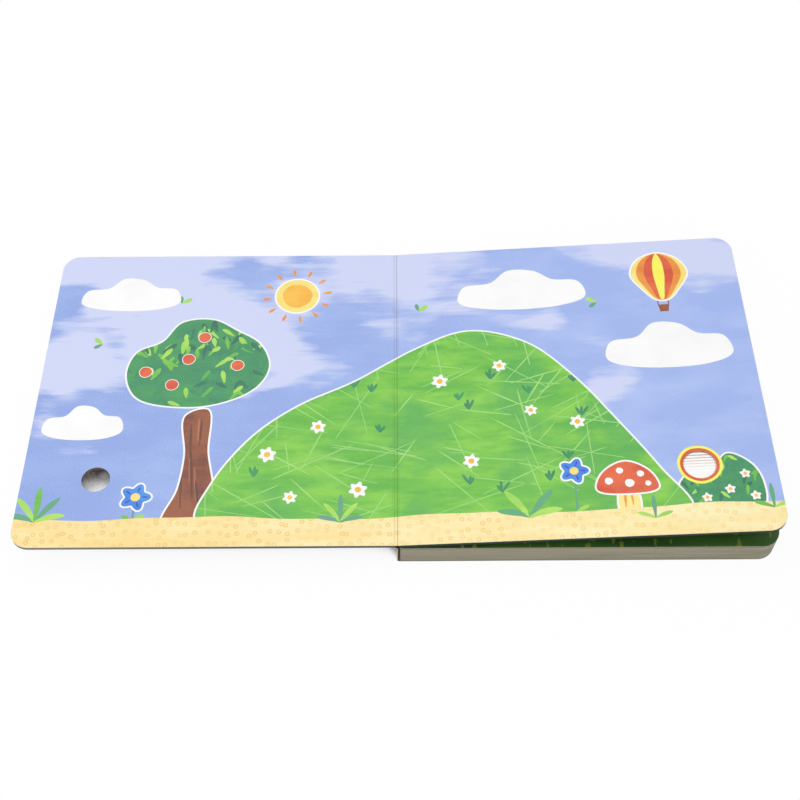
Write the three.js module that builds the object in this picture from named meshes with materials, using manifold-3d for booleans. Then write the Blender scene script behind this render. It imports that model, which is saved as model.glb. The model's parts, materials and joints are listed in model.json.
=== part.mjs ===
// A children's board book with a sound button, lying open at one spread.
// Millimetres, +X to the right, +Y away from the reader, +Z up. The origin is on the table,
// under the gutter and half way up the page. The front cover lies to the left of the gutter
// and turns about it. The pages, the thick board that holds the sound unit and the back cover
// lie to the right, and the first page is lifted a little.

import * as THREE from 'three';
import { mergeVertices } from 'three/addons/utils/BufferGeometryUtils.js';
import Module from 'manifold-3d';

const wasm = await Module();
wasm.setup();

// Pages and covers
const page_width = 178;
const page_height = 178;
const corner_radius = 9;
const leaf_thickness = 2;
const lower_leaf_thickness = 1.75;
const lower_leaf_count = 2;
const leaf_gap = 0.3;
const sound_board_thickness = 7.2;
const back_board_thickness = 0.8;
const wrap_thickness = 0.6;
const block_inset = 0.5;
const root_gap = 0.8;
const lift_degrees = 4.07;

// Gutter and spine
const hinge_gap = 0.3;
const cover_end = 0.65;
const fold_thickness = 0.4;
const root_wall = 1;
const spine_wrap_offset = 0.15;
const spine_hollow = 1.05;
const wrap_bend_radius = 1.2;
const wrap_lip = 1.2;

// Printed fields
const print_thickness = 0.2;
const print_seat = 0.05;
const outline_width = 0.9;
const field_gap = 0.1;
const sand_depth = 15;
const sand_wave = 0.9;
const sand_cover = 2.5;

// Finger hole and sound button
const button_reach = 142.6;
const button_rise = 36.6;
const cover_hole_radius = 6.8;
const button_hole_radius = 7.67;
const inner_ring_width = 1.45;
const outer_ring_width = 1.35;
const pocket_floor = 0.35;
const lip_thickness = 0.35;
const flange_width = 1;
const flange_thickness = 0.25;
const button_clearance = 0.3;
const button_travel = 0.25;
const button_recess = 0.15;
const rib_pitch = 1.57;
const rib_height = 0.25;
const rib_margin = 0.9;

// Switch film with its tail
const film_thickness = 0.2;
const film_seat = 0.1;
const film_pad_radius = 7.2;
const tail_width = 6;
const tail_clearance = 0.3;
const tail_bend_radius = 0.5;
const tail_landing = 7;

// Sound unit
const unit_start = 40.3;
const unit_width = 51.4;
const unit_centre_y = -40;
const unit_clearance = 0.3;
const unit_corner = 3;
const wall = 1.2;
const lid_thickness = 0.6;
const unit_headroom = 0.1;
const boss_radius = 2.8;
const screw_shank_radius = 1;
const screw_head_radius = 2;
const screw_head_height = 0.7;
const screw_fit = 0.1;
const screw_length = 5;

// Cells, door and contacts
const cell_count = 3;
const cell_radius = 5.8;
const cell_height = 5.4;
const cell_cap_radius = 4.6;
const cell_cap_step = 0.2;
const cell_gap = 0.6;
const bay_margin = 6.6;
const circuit_to_bay = 7;
const contact_thickness = 0.25;
const contact_width = 6;
const door_margin = 2.2;
const door_tail = 9;
const door_thickness = 1;
const door_recess = 0.3;
const door_clearance = 0.4;
const door_corner = 2;

// Speaker
const speaker_radius = 14.5;
const speaker_room = 1.2;
const speaker_end_gap = 0.5;
const speaker_height = 4.8;
const basket_wall = 0.5;
const magnet_radius = 7;
const magnet_height = 2.4;
const grille_hole_radius = 1.1;
const grille_pitch = 4.2;
const grille_reach = 9.5;

// Circuit board
const circuit_length = 27;
const circuit_width = 24;
const circuit_thickness = 1;
const circuit_margin = 1;
const circuit_stand = 0.9;
const chip_radius = 4;
const chip_height = 1.1;
const wire_radius = 0.3;
const wire_clearance = 0.05;

// Power switch
const knob_travel = 2.4;
const knob_length = 2.6;
const knob_width = 2.2;
const switch_can_height = 2.2;
const switch_wall = 0.8;
const switch_from_end = 18.7;
const switch_from_side = 8.7;
const knob_clearance = 0.3;

// Levels, from the table up
const back_top = wrap_thickness + back_board_thickness;
const board_top = back_top + sound_board_thickness;
const leaf_step = lower_leaf_thickness + leaf_gap;
const block_top = board_top + lower_leaf_count * leaf_step - leaf_gap;
const spread_bottom = block_top + root_gap;
const spread_top = spread_bottom + leaf_thickness;
const print_depth = print_thickness + print_seat;
const base_thickness = leaf_thickness - print_depth;
const lift = THREE.MathUtils.degToRad(lift_degrees);
const half_height = page_height / 2;
const root_x = spine_wrap_offset + wrap_thickness + spine_hollow;
const block_end = page_width - block_inset;
const button_y = button_rise - half_height;
const floor_top = back_top + wall;
const lid_bottom = board_top - unit_headroom - lid_thickness;

const sky_blue = '#a8bcec';
const sand_yellow = '#fce69e';
const leaf_green = '#78c850';
const deep_green = '#328c5a';
const cloud_white = '#fbfbf6';
const bark_brown = '#8a4a24';
const sun_yellow = '#fae682';
const bloom_blue = '#3c8ce6';
const balloon_orange = '#e08a3c';
const ring_red = '#e46432';
const ring_yellow = '#fff06a';
const board_white = '#efece2';
const grey_board = '#9e9884';
const wrap_grey = '#b9b4a4';
const cap_white = '#f2f1ec';
const case_black = '#2b2c2e';
const steel_grey = '#c3c6c8';
const copper_green = '#2f6b3c';

const part = new THREE.Group();
const lifted = new THREE.Group();
lifted.position.set(0, 0, spread_top);
lifted.rotation.y = -lift;
part.add(lifted);

// Solids

function toSolid(geometry) {
  const bare = geometry.clone();
  bare.deleteAttribute('normal');
  bare.deleteAttribute('uv');
  const merged = mergeVertices(bare, 1e-4);
  const corners = merged.index.array;
  const kept = [];
  for (let i = 0; i < corners.length; i += 3) {
    const [a, b, c] = [corners[i], corners[i + 1], corners[i + 2]];
    if (a !== b && b !== c && c !== a) kept.push(a, b, c);
  }
  return new wasm.Manifold(new wasm.Mesh({
    numProp: 3,
    vertProperties: new Float32Array(merged.attributes.position.array),
    triVerts: new Uint32Array(kept),
  }));
}

function toGeometry(solid) {
  const mesh = solid.getMesh();
  const geometry = new THREE.BufferGeometry();
  geometry.setAttribute('position', new THREE.BufferAttribute(mesh.vertProperties, 3));
  geometry.setIndex(new THREE.BufferAttribute(mesh.triVerts, 1));
  geometry.computeVertexNormals();
  return geometry;
}

function join(first, ...others) {
  return others.reduce((solid, other) => solid.add(toSolid(other)), asSolid(first));
}

function cut(first, ...tools) {
  return tools.reduce((solid, tool) => solid.subtract(asSolid(tool)), asSolid(first));
}

function asSolid(shape) {
  return shape.isBufferGeometry ? toSolid(shape) : shape;
}

function add(name, shape, colour, roughness = 0.7, metalness = 0, home = part) {
  const geometry = shape.isBufferGeometry ? shape : toGeometry(shape);
  const material = new THREE.MeshStandardMaterial({ color: colour, roughness, metalness });
  const mesh = new THREE.Mesh(geometry, material);
  mesh.name = name;
  home.add(mesh);
  return mesh;
}

function box(x0, x1, y0, y1, z0, z1) {
  const geometry = new THREE.BoxGeometry(x1 - x0, y1 - y0, z1 - z0);
  return geometry.translate((x0 + x1) / 2, (y0 + y1) / 2, (z0 + z1) / 2);
}

function disc(radius, x, y, z0, z1, sides = 40) {
  const geometry = new THREE.CylinderGeometry(radius, radius, z1 - z0, sides);
  return geometry.rotateX(Math.PI / 2).translate(x, y, (z0 + z1) / 2);
}

function plate(shape, z0, z1, curveSegments = 8) {
  const options = { depth: z1 - z0, bevelEnabled: false, curveSegments };
  return new THREE.ExtrudeGeometry(shape, options).translate(0, 0, z0);
}

// A profile of (radius, height) points that starts and ends on the axis.
function turned(profile, x, y, sides = 28) {
  const points = profile.map(([radius, height]) => new THREE.Vector2(radius, height));
  return new THREE.LatheGeometry(points, sides).rotateX(Math.PI / 2).translate(x, y, 0);
}

function roundedBox(x0, x1, y0, y1, radius, z0, z1, curveSegments = 5) {
  const shape = new THREE.Shape();
  shape.moveTo(x0 + radius, y0);
  shape.lineTo(x1 - radius, y0);
  shape.absarc(x1 - radius, y0 + radius, radius, -Math.PI / 2, 0);
  shape.lineTo(x1, y1 - radius);
  shape.absarc(x1 - radius, y1 - radius, radius, 0, Math.PI / 2);
  shape.lineTo(x0 + radius, y1);
  shape.absarc(x0 + radius, y1 - radius, radius, Math.PI / 2, Math.PI);
  shape.lineTo(x0, y0 + radius);
  shape.absarc(x0 + radius, y0 + radius, radius, Math.PI, 1.5 * Math.PI);
  return plate(shape, z0, z1, curveSegments);
}

// A leaf: square at the spine, with the two outer corners rounded. reach is where the
// outer edge lies, left of the gutter if it is negative.
function leafOutline(start, reach, inset = 0) {
  const side = Math.sign(reach);
  const edge = Math.abs(reach) - inset;
  const top = half_height - inset;
  const radius = corner_radius - inset;
  const shape = new THREE.Shape();
  shape.moveTo(side * start, -top);
  shape.lineTo(side * (edge - radius), -top);
  shape.absarc(side * (edge - radius), radius - top, radius, -Math.PI / 2, side > 0 ? 0 : Math.PI, side < 0);
  shape.lineTo(side * edge, top - radius);
  shape.absarc(side * (edge - radius), top - radius, radius, side > 0 ? 0 : Math.PI, Math.PI / 2, side < 0);
  shape.lineTo(side * start, top);
  shape.closePath();
  return shape;
}

// A strip of constant thickness along a line of (x, z) points, as wide as width in Y.
function ribbon(path, thickness, y, width) {
  const near = [];
  const far = [];
  path.forEach((point, i) => {
    const before = path[Math.max(i - 1, 0)];
    const after = path[Math.min(i + 1, path.length - 1)];
    const along = new THREE.Vector2().subVectors(after, before).normalize();
    const half = thickness / 2;
    near.push(new THREE.Vector2(point.x - along.y * half, point.y + along.x * half));
    far.unshift(new THREE.Vector2(point.x + along.y * half, point.y - along.x * half));
  });
  const shape = new THREE.Shape([...near, ...far]);
  const options = { depth: width, bevelEnabled: false };
  return new THREE.ExtrudeGeometry(shape, options).rotateX(Math.PI / 2).translate(0, y + width / 2, 0);
}

function arc(x, z, radius, from, to, steps = 6) {
  return Array.from({ length: steps + 1 }, (_, i) => {
    const angle = from + ((to - from) * i) / steps;
    return new THREE.Vector2(x + radius * Math.cos(angle), z + radius * Math.sin(angle));
  });
}

// Puts a shape made flat, with its top at zero, on the lifted leaf.
function onLiftedLeaf(geometry) {
  return geometry.rotateY(-lift).translate(0, 0, spread_top);
}

// Front cover

function frontCover() {
  const bottom = spread_bottom;
  const board = plate(leafOutline(cover_end, -page_width), bottom, bottom + base_thickness);
  return cut(board, disc(cover_hole_radius, -button_reach, button_y, bottom - 1, spread_top));
}

// Pages: the lifted leaf, the lower leaves, the gutter fold and the folded edges at the
// spine are one glued stack.

const pocket_radius = button_hole_radius + flange_width;
const film_bottom = -leaf_thickness + pocket_floor + film_seat;
const film_top = film_bottom + film_thickness;
const flange_room_top = -print_depth - lip_thickness;

function liftedLeaf() {
  const leaf = plate(leafOutline(root_x, page_width), -leaf_thickness, -print_depth);
  const slot_bottom = film_bottom - tail_clearance / 2;
  const slot_top = film_top + tail_clearance / 2;
  const half_slot = tail_width / 2 + tail_clearance;
  const pocket_bottom = -leaf_thickness + pocket_floor;
  return cut(
    leaf,
    disc(pocket_radius, button_reach, button_y, pocket_bottom, flange_room_top),
    disc(button_hole_radius, button_reach, button_y, flange_room_top - 0.1, 1),
    box(root_x - 1, button_reach, button_y - half_slot, button_y + half_slot, slot_bottom, slot_top),
  );
}

function pageLeaves() {
  const leaf = onLiftedLeaf(toGeometry(liftedLeaf()));
  const fold_top = spread_top - print_depth;
  const gutter = box(hinge_gap - cover_end, root_x + root_wall, -half_height, half_height,
    fold_top - fold_thickness, fold_top);
  const root = box(root_x, root_x + root_wall, -half_height, half_height,
    board_top, spread_bottom + fold_thickness / 2);
  let stack = join(leaf, gutter, root);
  for (let i = 0; i < lower_leaf_count; i += 1) {
    const bottom = board_top + i * leaf_step;
    const room = i === lower_leaf_count - 1 ? print_depth : 0;
    const lower = plate(leafOutline(root_x, block_end), bottom, bottom + lower_leaf_thickness - room);
    stack = join(stack, lower);
  }
  return stack;
}

// The printed face of the page under the lifted leaf
function nextPagePrint() {
  const start = root_x + root_wall + field_gap;
  return plate(leafOutline(start, block_end, print_seat), block_top - print_thickness, block_top);
}

// Where the sound unit's pieces lie. From the spine outwards come the circuit board, the row
// of cells with the door's screw, and the speaker, and the case is as long as they need.

const unit_x0 = unit_start;
const unit_y0 = unit_centre_y - unit_width / 2;
const unit_y1 = unit_centre_y + unit_width / 2;

const circuit_x0 = unit_x0 + wall + circuit_margin;
const circuit_x1 = circuit_x0 + circuit_length;
const circuit_y0 = unit_y0 + wall + circuit_margin;
const circuit_y1 = circuit_y0 + circuit_width;
const circuit_bottom = floor_top + circuit_stand;
const circuit_top = circuit_bottom + circuit_thickness;
const tail_level = circuit_top + film_seat + film_thickness / 2;

const cell_pitch = 2 * cell_radius + cell_gap;
const bay_x0 = circuit_x1 + circuit_to_bay + wall;
const bay_x1 = bay_x0 + cell_count * cell_pitch;
const bay_y0 = unit_y0 + bay_margin;
const bay_y1 = bay_y0 + cell_pitch;
const cell_row_x = (bay_x0 + bay_x1) / 2;
const cell_row_y = (bay_y0 + bay_y1) / 2;
const negative_y = cell_row_y + contact_width / 2 - 1;
const positive_x = cell_row_x + ((cell_count - 1) / 2) * cell_pitch;

const door_top = door_recess + door_thickness;
const door_x0 = bay_x0 - door_margin;
const door_x1 = bay_x1 + door_tail;
const door_y0 = bay_y0 - door_margin;
const door_y1 = bay_y1 + door_margin;
const door_screw_x = door_x1 - door_tail / 2;
const door_screw_level = door_recess - 0.1;

const speaker_guide_radius = speaker_radius + unit_clearance + wall;
const speaker_from_screw = speaker_guide_radius + boss_radius + speaker_room;
const speaker_y = unit_centre_y;
const speaker_x = door_screw_x + Math.sqrt(speaker_from_screw ** 2 - (speaker_y - cell_row_y) ** 2);
const unit_x1 = speaker_x + speaker_guide_radius + speaker_end_gap + wall;

const switch_x = unit_x0 + switch_from_end;
const switch_y = unit_y1 - switch_from_side;

// Sound board: thick grey board with a window for the sound unit and a channel for the tail.

function tailChannel(x0, x1) {
  const half = tail_width / 2 + tail_clearance;
  const room = film_thickness / 2 + tail_clearance;
  return box(x0, x1, button_y - half, button_y + half, tail_level - room, tail_level + room);
}

function soundBoard() {
  const room = unit_clearance;
  const window = roundedBox(unit_x0 - room, unit_x1 + room, unit_y0 - room, unit_y1 + room,
    unit_corner + room, back_top - 1, board_top + 1);
  const board = plate(leafOutline(root_x, block_end), back_top, board_top);
  return cut(board, window, tailChannel(root_x - 1, unit_x0));
}

// Openings through the back cover

function doorOpening(z0, z1) {
  return roundedBox(door_x0 - door_clearance, door_x1 + door_clearance,
    door_y0 - door_clearance, door_y1 + door_clearance, door_corner + door_clearance, z0, z1);
}

// Sound holes on a triangular grid inside a circle.
function grilleHoles(z0, z1) {
  const holes = [];
  const rows = Math.floor(grille_reach / (grille_pitch * Math.sin(Math.PI / 3)));
  for (let row = -rows; row <= rows; row += 1) {
    const y = row * grille_pitch * Math.sin(Math.PI / 3);
    const shift = (Math.abs(row) % 2) * (grille_pitch / 2);
    const columns = Math.ceil(grille_reach / grille_pitch);
    for (let column = -columns; column <= columns; column += 1) {
      const x = column * grille_pitch + shift;
      if (Math.hypot(x, y) < grille_reach) {
        holes.push(disc(grille_hole_radius, speaker_x + x, speaker_y + y, z0, z1, 8));
      }
    }
  }
  return holes;
}

function knobSlot(z0, z1) {
  const half_x = (knob_length + knob_travel) / 2 + knob_clearance;
  const half_y = knob_width / 2 + knob_clearance;
  return box(switch_x - half_x, switch_x + half_x, switch_y - half_y, switch_y + half_y, z0, z1);
}

function openBack(sheet, top) {
  return cut(sheet, doorOpening(-1, top), knobSlot(-1, top), ...grilleHoles(-1, top));
}

function backBoard() {
  const board = plate(leafOutline(root_x, block_end), wrap_thickness, back_top);
  return openBack(board, back_top + 1);
}

// The cover wrap is one folded sheet: the back cover's outside, the bend at the foot of the
// spine, the spine itself and the lip that turns under the front cover.
function coverWrap() {
  const half = wrap_thickness / 2;
  const spine_x = spine_wrap_offset + half;
  const lip_z = spread_bottom - hinge_gap - half;
  const foot = wrap_bend_radius;
  const turn = wrap_lip;
  const path = [
    new THREE.Vector2(root_x + root_wall, half),
    ...arc(spine_x + foot, half + foot, foot, -Math.PI / 2, -Math.PI),
    ...arc(spine_x - turn, lip_z - turn, turn, 0, Math.PI / 2),
    new THREE.Vector2(spine_x - turn - 0.6, lip_z),
  ];
  const spine = ribbon(path, wrap_thickness, 0, page_height);
  const back = plate(leafOutline(root_x, block_end), 0, wrap_thickness);
  return openBack(join(back, spine), back_top);
}

// Sound button: a ribbed cap held under the lip of its hole by a flange, over a switch film.

const cap_top = -print_depth - button_recess;
const cap_bottom = film_top + button_travel + 0.05;

function buttonCap() {
  const crown_radius = button_hole_radius - button_clearance;
  const flange_radius = pocket_radius - button_clearance;
  const face = cap_top - rib_height;
  const body = turned([
    [0, cap_bottom],
    [flange_radius, cap_bottom],
    [flange_radius, cap_bottom + flange_thickness],
    [crown_radius, cap_bottom + flange_thickness],
    [crown_radius, face],
    [crown_radius - 0.2, face + 0.1],
    [0, face + 0.1],
  ], button_reach, button_y, 48);
  const field_radius = crown_radius - rib_margin;
  const rows = Math.floor(field_radius / rib_pitch);
  const offsets = Array.from({ length: 2 * rows + 1 }, (_, i) => (i - rows) * rib_pitch);
  return join(body, ...offsets.map((offset) => rib(offset, field_radius, face)));
}

// One rib runs along X, as long as the circle is wide there, with a rounded crest.
function rib(offset, radius, face) {
  const half = Math.sqrt(radius * radius - offset * offset);
  const flank = rib_pitch * 0.36;
  const shape = new THREE.Shape();
  shape.moveTo(-flank, face);
  shape.lineTo(flank, face);
  shape.quadraticCurveTo(flank * 0.8, face + rib_height, 0, face + rib_height);
  shape.quadraticCurveTo(-flank * 0.8, face + rib_height, -flank, face);
  const bar = new THREE.ExtrudeGeometry(shape, { depth: 2 * half, bevelEnabled: false, curveSegments: 3 });
  const standing = bar.rotateX(Math.PI / 2).rotateZ(Math.PI / 2);
  return standing.translate(button_reach - half, button_y + offset, 0);
}

function switchFilm() {
  const mid = film_bottom + film_thickness / 2;
  const across = (u, w) => new THREE.Vector2(
    u * Math.cos(lift) - w * Math.sin(lift),
    spread_top + u * Math.sin(lift) + w * Math.cos(lift),
  );
  const drop_x = root_x - spine_hollow / 2;
  const bend = tail_bend_radius;
  const start = across(button_reach, mid);
  const root = across(drop_x + bend, mid);
  const path = [
    start,
    root,
    ...arc(drop_x + bend, root.y - bend, bend, Math.PI / 2 + lift, Math.PI),
    ...arc(drop_x + bend, tail_level + bend, bend, Math.PI, 1.5 * Math.PI),
    new THREE.Vector2(circuit_x0 + tail_landing, tail_level),
  ];
  const pad = onLiftedLeaf(disc(film_pad_radius, button_reach, button_y, film_bottom, film_top));
  return join(pad, ribbon(path, film_thickness, button_y, tail_width));
}

// Sound unit: a case with a floor, a wall, the cell bay and screw bosses, and its lid.

const lid_screws = [
  { name: 'lid_screw_left', x: unit_x0 + 2 * boss_radius, y: unit_y1 - 2 * boss_radius },
  { name: 'lid_screw_right', x: unit_x1 - 2 * boss_radius, y: unit_y0 + 2 * boss_radius },
];

function boss(x, y, z0, z1) {
  return disc(boss_radius, x, y, z0, z1, 20);
}

function speakerGuide() {
  const room = speaker_radius + unit_clearance;
  const guide = disc(speaker_guide_radius, speaker_x, speaker_y, back_top, floor_top + 2, 32);
  return cut(guide, disc(room, speaker_x, speaker_y, floor_top, floor_top + 3, 32));
}

function unitCase() {
  const outer = roundedBox(unit_x0, unit_x1, unit_y0, unit_y1, unit_corner, back_top, lid_bottom);
  const hollow = roundedBox(unit_x0 + wall, unit_x1 - wall, unit_y0 + wall, unit_y1 - wall,
    unit_corner - wall, floor_top, lid_bottom + 1);
  const bay = box(bay_x0 - wall, bay_x1 + wall, bay_y0 - wall, bay_y1 + wall, back_top, lid_bottom);
  const posts = [
    box(circuit_x0 + 2, circuit_x0 + 6, circuit_y0 + 2, circuit_y1 - 2, floor_top - 0.5, circuit_bottom),
    box(circuit_x1 - 6, circuit_x1 - 2, circuit_y0 + 2, circuit_y1 - 2, floor_top - 0.5, circuit_bottom),
  ];
  const bosses = lid_screws.map(({ x, y }) => boss(x, y, back_top, lid_bottom));
  const door_boss = boss(door_screw_x, cell_row_y, back_top, lid_bottom);
  const shell = cut(outer, hollow).add(speakerGuide());
  const filled = join(shell, bay, door_boss, ...bosses, ...posts);
  const shank = screw_shank_radius + screw_fit;
  return cut(
    filled,
    box(bay_x0, bay_x1, bay_y0, bay_y1, back_top - 1, lid_bottom + 1),
    disc(shank, door_screw_x, cell_row_y, back_top - 1, back_top + screw_length, 16),
    ...lid_screws.map(({ x, y }) => disc(shank, x, y, lid_bottom - screw_length, lid_bottom + 1, 16)),
    tailChannel(unit_x0 - 1, unit_x0 + wall + 0.5),
    knobSlot(back_top - 1, floor_top + 1),
    ...wireNotches(),
    ...grilleHoles(back_top - 1, floor_top + 1),
  );
}

// The two gaps in the bay's walls that the cell wires come through
function wireNotches() {
  const half = 2.5 * wire_radius;
  const low = lid_bottom - 5.5 * wire_radius;
  const top = lid_bottom + 1;
  return [
    box(bay_x0 - wall - 1, bay_x0 + 0.5, negative_y - half, negative_y + half, low, top),
    box(positive_x - half, positive_x + half, bay_y1 - 0.5, bay_y1 + wall + 1, low, top),
  ];
}

function unitLid() {
  const top = lid_bottom + lid_thickness;
  const lid = roundedBox(unit_x0, unit_x1, unit_y0, unit_y1, unit_corner, lid_bottom, top);
  const head = screw_head_radius + screw_fit;
  return cut(lid, ...lid_screws.map(({ x, y }) => disc(head, x, y, lid_bottom - 1, board_top, 20)));
}

function batteryDoor() {
  const panel = roundedBox(door_x0, door_x1, door_y0, door_y1, door_corner, door_recess, door_top);
  const head_room = disc(screw_head_radius + screw_fit, door_screw_x, cell_row_y, -1,
    door_screw_level + screw_head_height, 24);
  const shank = disc(screw_shank_radius + screw_fit, door_screw_x, cell_row_y, -1, back_top, 16);
  const grip_depth = door_thickness / 3;
  const grips = [0, 1, 2].map((i) => {
    const x = door_x0 + 2 * door_margin + i * door_margin;
    return box(x, x + 1, door_y0 + 3, door_y1 - 3, -1, door_recess + grip_depth);
  });
  return cut(panel, head_room, shank, ...grips);
}

// A pan-head screw with its head at the given end, and a cross slot in the head.
function screw(x, y, head_z, direction) {
  const height = direction * screw_head_height;
  const profile = [
    [0, head_z],
    [screw_head_radius * 0.8, head_z],
    [screw_head_radius, head_z + height * 0.35],
    [screw_head_radius, head_z + height],
    [screw_shank_radius, head_z + height],
    [screw_shank_radius, head_z + height + direction * (screw_length - 1.4)],
    [0, head_z + height + direction * (screw_length - 0.4)],
  ];
  if (direction < 0) profile.reverse();
  const depth = screw_head_height * 0.45;
  const [low, high] = [head_z - depth, head_z + depth];
  const long = screw_head_radius * 0.6;
  const short = screw_head_radius * 0.14;
  return cut(
    turned(profile, x, y, 20),
    box(x - long, x + long, y - short, y + short, low, high),
    box(x - short, x + short, y - long, y + long, low, high),
  );
}

// Cells and contacts

const lower_contact_bottom = back_top + 0.05;
const cell_bottom = lower_contact_bottom + contact_thickness;
const cell_top = cell_bottom + cell_height;
const cellX = (i) => cell_row_x + (i - (cell_count - 1) / 2) * cell_pitch;

function buttonCell(index) {
  const step = cell_cap_step;
  const cap_up = [
    [0, 0],
    [cell_radius - step, 0],
    [cell_radius, step],
    [cell_radius, cell_height - step],
    [cell_cap_radius, cell_height - step],
    [cell_cap_radius, cell_height],
    [0, cell_height],
  ];
  const cap_down = cap_up.map(([radius, height]) => [radius, cell_height - height]).reverse();
  const profile = index % 2 === 1 ? cap_down : cap_up;
  return turned(profile, cellX(index), cell_row_y, 24).translate(0, 0, cell_bottom);
}

// A flat contact plate from one cell's centre to another's, on the door side or the lid side.
function contactPlate(first, last, z0) {
  const half = contact_width / 2;
  const x0 = cellX(first) - half;
  const x1 = cellX(last) + half;
  return roundedBox(x0, x1, cell_row_y - half, cell_row_y + half, 1, z0, z0 + contact_thickness, 2);
}

// The can of the last cell is its positive pole, so its plate stands against the bay's long wall.
function sideContact() {
  const half = contact_width / 2;
  const y1 = bay_y1 - wire_clearance / 2;
  return box(positive_x - half, positive_x + half, y1 - contact_thickness, y1, cell_bottom, cell_top);
}

// Speaker, facing down through the sound holes

const speaker_front = floor_top + 0.3;
const speaker_back = speaker_front + speaker_height;

function speakerBasket() {
  const outer = speaker_radius;
  const shelf = speaker_front + 1.6;
  const cup = magnet_radius + basket_wall + 1;
  const magnet_seat = speaker_back - magnet_height;
  return turned([
    [outer - 1.6, speaker_front],
    [outer, speaker_front],
    [outer, shelf],
    [cup + 1.5, magnet_seat],
    [magnet_radius - 1, magnet_seat],
    [magnet_radius - 1, magnet_seat - basket_wall],
    [cup + 1, magnet_seat - basket_wall],
    [outer - basket_wall - 0.3, shelf - basket_wall],
    [outer - basket_wall - 0.3, speaker_front + basket_wall],
    [outer - 1.6, speaker_front + basket_wall],
    [outer - 1.6, speaker_front],
  ], speaker_x, speaker_y);
}

function speakerMagnet() {
  const low = speaker_back - magnet_height;
  return turned([
    [0, low],
    [magnet_radius, low],
    [magnet_radius, speaker_back - 0.4],
    [magnet_radius - 0.4, speaker_back],
    [0, speaker_back],
  ], speaker_x, speaker_y);
}

function speakerCone() {
  const low = speaker_front + basket_wall + 0.1;
  const rim = speaker_radius - basket_wall - 0.6;
  const skin = 0.25;
  return turned([
    [0, low + 1.5],
    [3.5, low + 0.9],
    [5.5, low + 1.1],
    [rim - 2.5, low + 0.3],
    [rim - 1.2, low],
    [rim, low],
    [rim, low + skin],
    [rim - 1, low + skin],
    [rim - 2.5, low + skin + 0.3],
    [5.5, low + skin + 1.1],
    [3.6, low + skin + 0.9],
    [0, low + skin + 1.5],
  ], speaker_x, speaker_y, 24);
}

// Circuit board with the moulded chip cover and two small parts

function circuitBoard() {
  return box(circuit_x0, circuit_x1, circuit_y0, circuit_y1, circuit_bottom, circuit_top);
}

const chip_x = circuit_x1 - 2.2 * chip_radius;
const chip_y = (circuit_y0 + circuit_y1) / 2;

function chipCover() {
  return turned([
    [0, circuit_top],
    [chip_radius, circuit_top],
    [chip_radius * 0.93, circuit_top + chip_height * 0.45],
    [chip_radius * 0.7, circuit_top + chip_height * 0.85],
    [chip_radius * 0.35, circuit_top + chip_height],
    [0, circuit_top + chip_height],
  ], chip_x, chip_y, 16);
}

function resistor(y) {
  return box(chip_x - 1.6, chip_x + 1.6, y - 0.8, y + 0.8, circuit_top, circuit_top + 0.6);
}

function wire(points) {
  const curve = new THREE.CatmullRomCurve3(points.map(([x, y, z]) => new THREE.Vector3(x, y, z)));
  const section = new THREE.Shape();
  section.absarc(0, 0, wire_radius, 0, 2 * Math.PI);
  const steps = 3 * points.length;
  const options = { steps, extrudePath: curve, curveSegments: 3, bevelEnabled: false };
  return new THREE.ExtrudeGeometry(section, options);
}

const wire_level = circuit_top + wire_radius + wire_clearance;
const wire_run_y = circuit_y1 + 3;
const wire_top = cell_top + wire_radius + wire_clearance;

function speakerWire(shift) {
  const y = wire_run_y + shift;
  return wire([
    [circuit_x1 - 3, circuit_y1 - 2 + shift / 2, wire_level],
    [circuit_x1 + 1, circuit_y1 + shift / 2, wire_level + 0.4],
    [circuit_x1 + 10, y, wire_level + 0.6],
    [speaker_x - speaker_radius - 6, y, wire_level + 0.8],
    [speaker_x - magnet_radius - 2.6, speaker_y + shift, speaker_back - magnet_height + 1.4],
  ]);
}

// From the lid-side plate of the first cell, out through the bay's end wall
function negativeWire() {
  return wire([
    [cellX(0) - contact_width / 2 - wire_clearance, negative_y, wire_top],
    [bay_x0 - wall - 1, negative_y, wire_top],
    [circuit_x1 + 3, negative_y, wire_top - 1.5],
    [circuit_x1 - 2, negative_y, wire_level],
  ]);
}

// From the side plate of the last cell, out through the bay's long wall and back to the board
function positiveWire() {
  const y = bay_y1 + wall + 2;
  return wire([
    [positive_x, bay_y1 + wire_clearance, wire_top],
    [positive_x, y - 1, wire_top],
    [positive_x - 4, y, wire_top - 0.6],
    [circuit_x1 + 6, y, wire_level + 1],
    [circuit_x1 - 2, circuit_y1 - 5, wire_level],
  ]);
}

// Power switch: a metal can round a knob that reaches down through the back cover

const can_bottom = floor_top + 0.05;
const can_half_x = (knob_length + knob_travel) / 2 + knob_clearance + switch_wall;
const can_half_y = knob_width / 2 + knob_clearance + switch_wall;

function switchCan() {
  const top = can_bottom + switch_can_height;
  const can = box(switch_x - can_half_x, switch_x + can_half_x, switch_y - can_half_y, switch_y + can_half_y,
    can_bottom, top);
  return cut(can, knobSlot(can_bottom - 1, top - switch_wall));
}

function switchKnob() {
  const x0 = switch_x - knob_travel / 2 - knob_length / 2;
  const x1 = x0 + knob_length;
  const top = can_bottom + switch_can_height - switch_wall - knob_clearance;
  const [y0, y1] = [switch_y - knob_width / 2, switch_y + knob_width / 2];
  const groove = (shift) => box(x0 + shift, x0 + shift + 0.3, y0 - 1, y1 + 1, 0, door_recess + 0.4);
  const grooves = [0.5, 1.2, 1.9].map(groove);
  return cut(box(x0, x1, y0, y1, door_recess, top), ...grooves);
}

// Print. Artwork lies in hundredths of the page, from the gutter and up from the foot of the
// page. What is drawn round the sound button or the finger hole lies in millimetres from its
// centre.

const ground = (100 * (sand_depth - sand_cover)) / page_height;
const ground_by_hole = sand_depth - sand_cover - button_rise;

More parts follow.
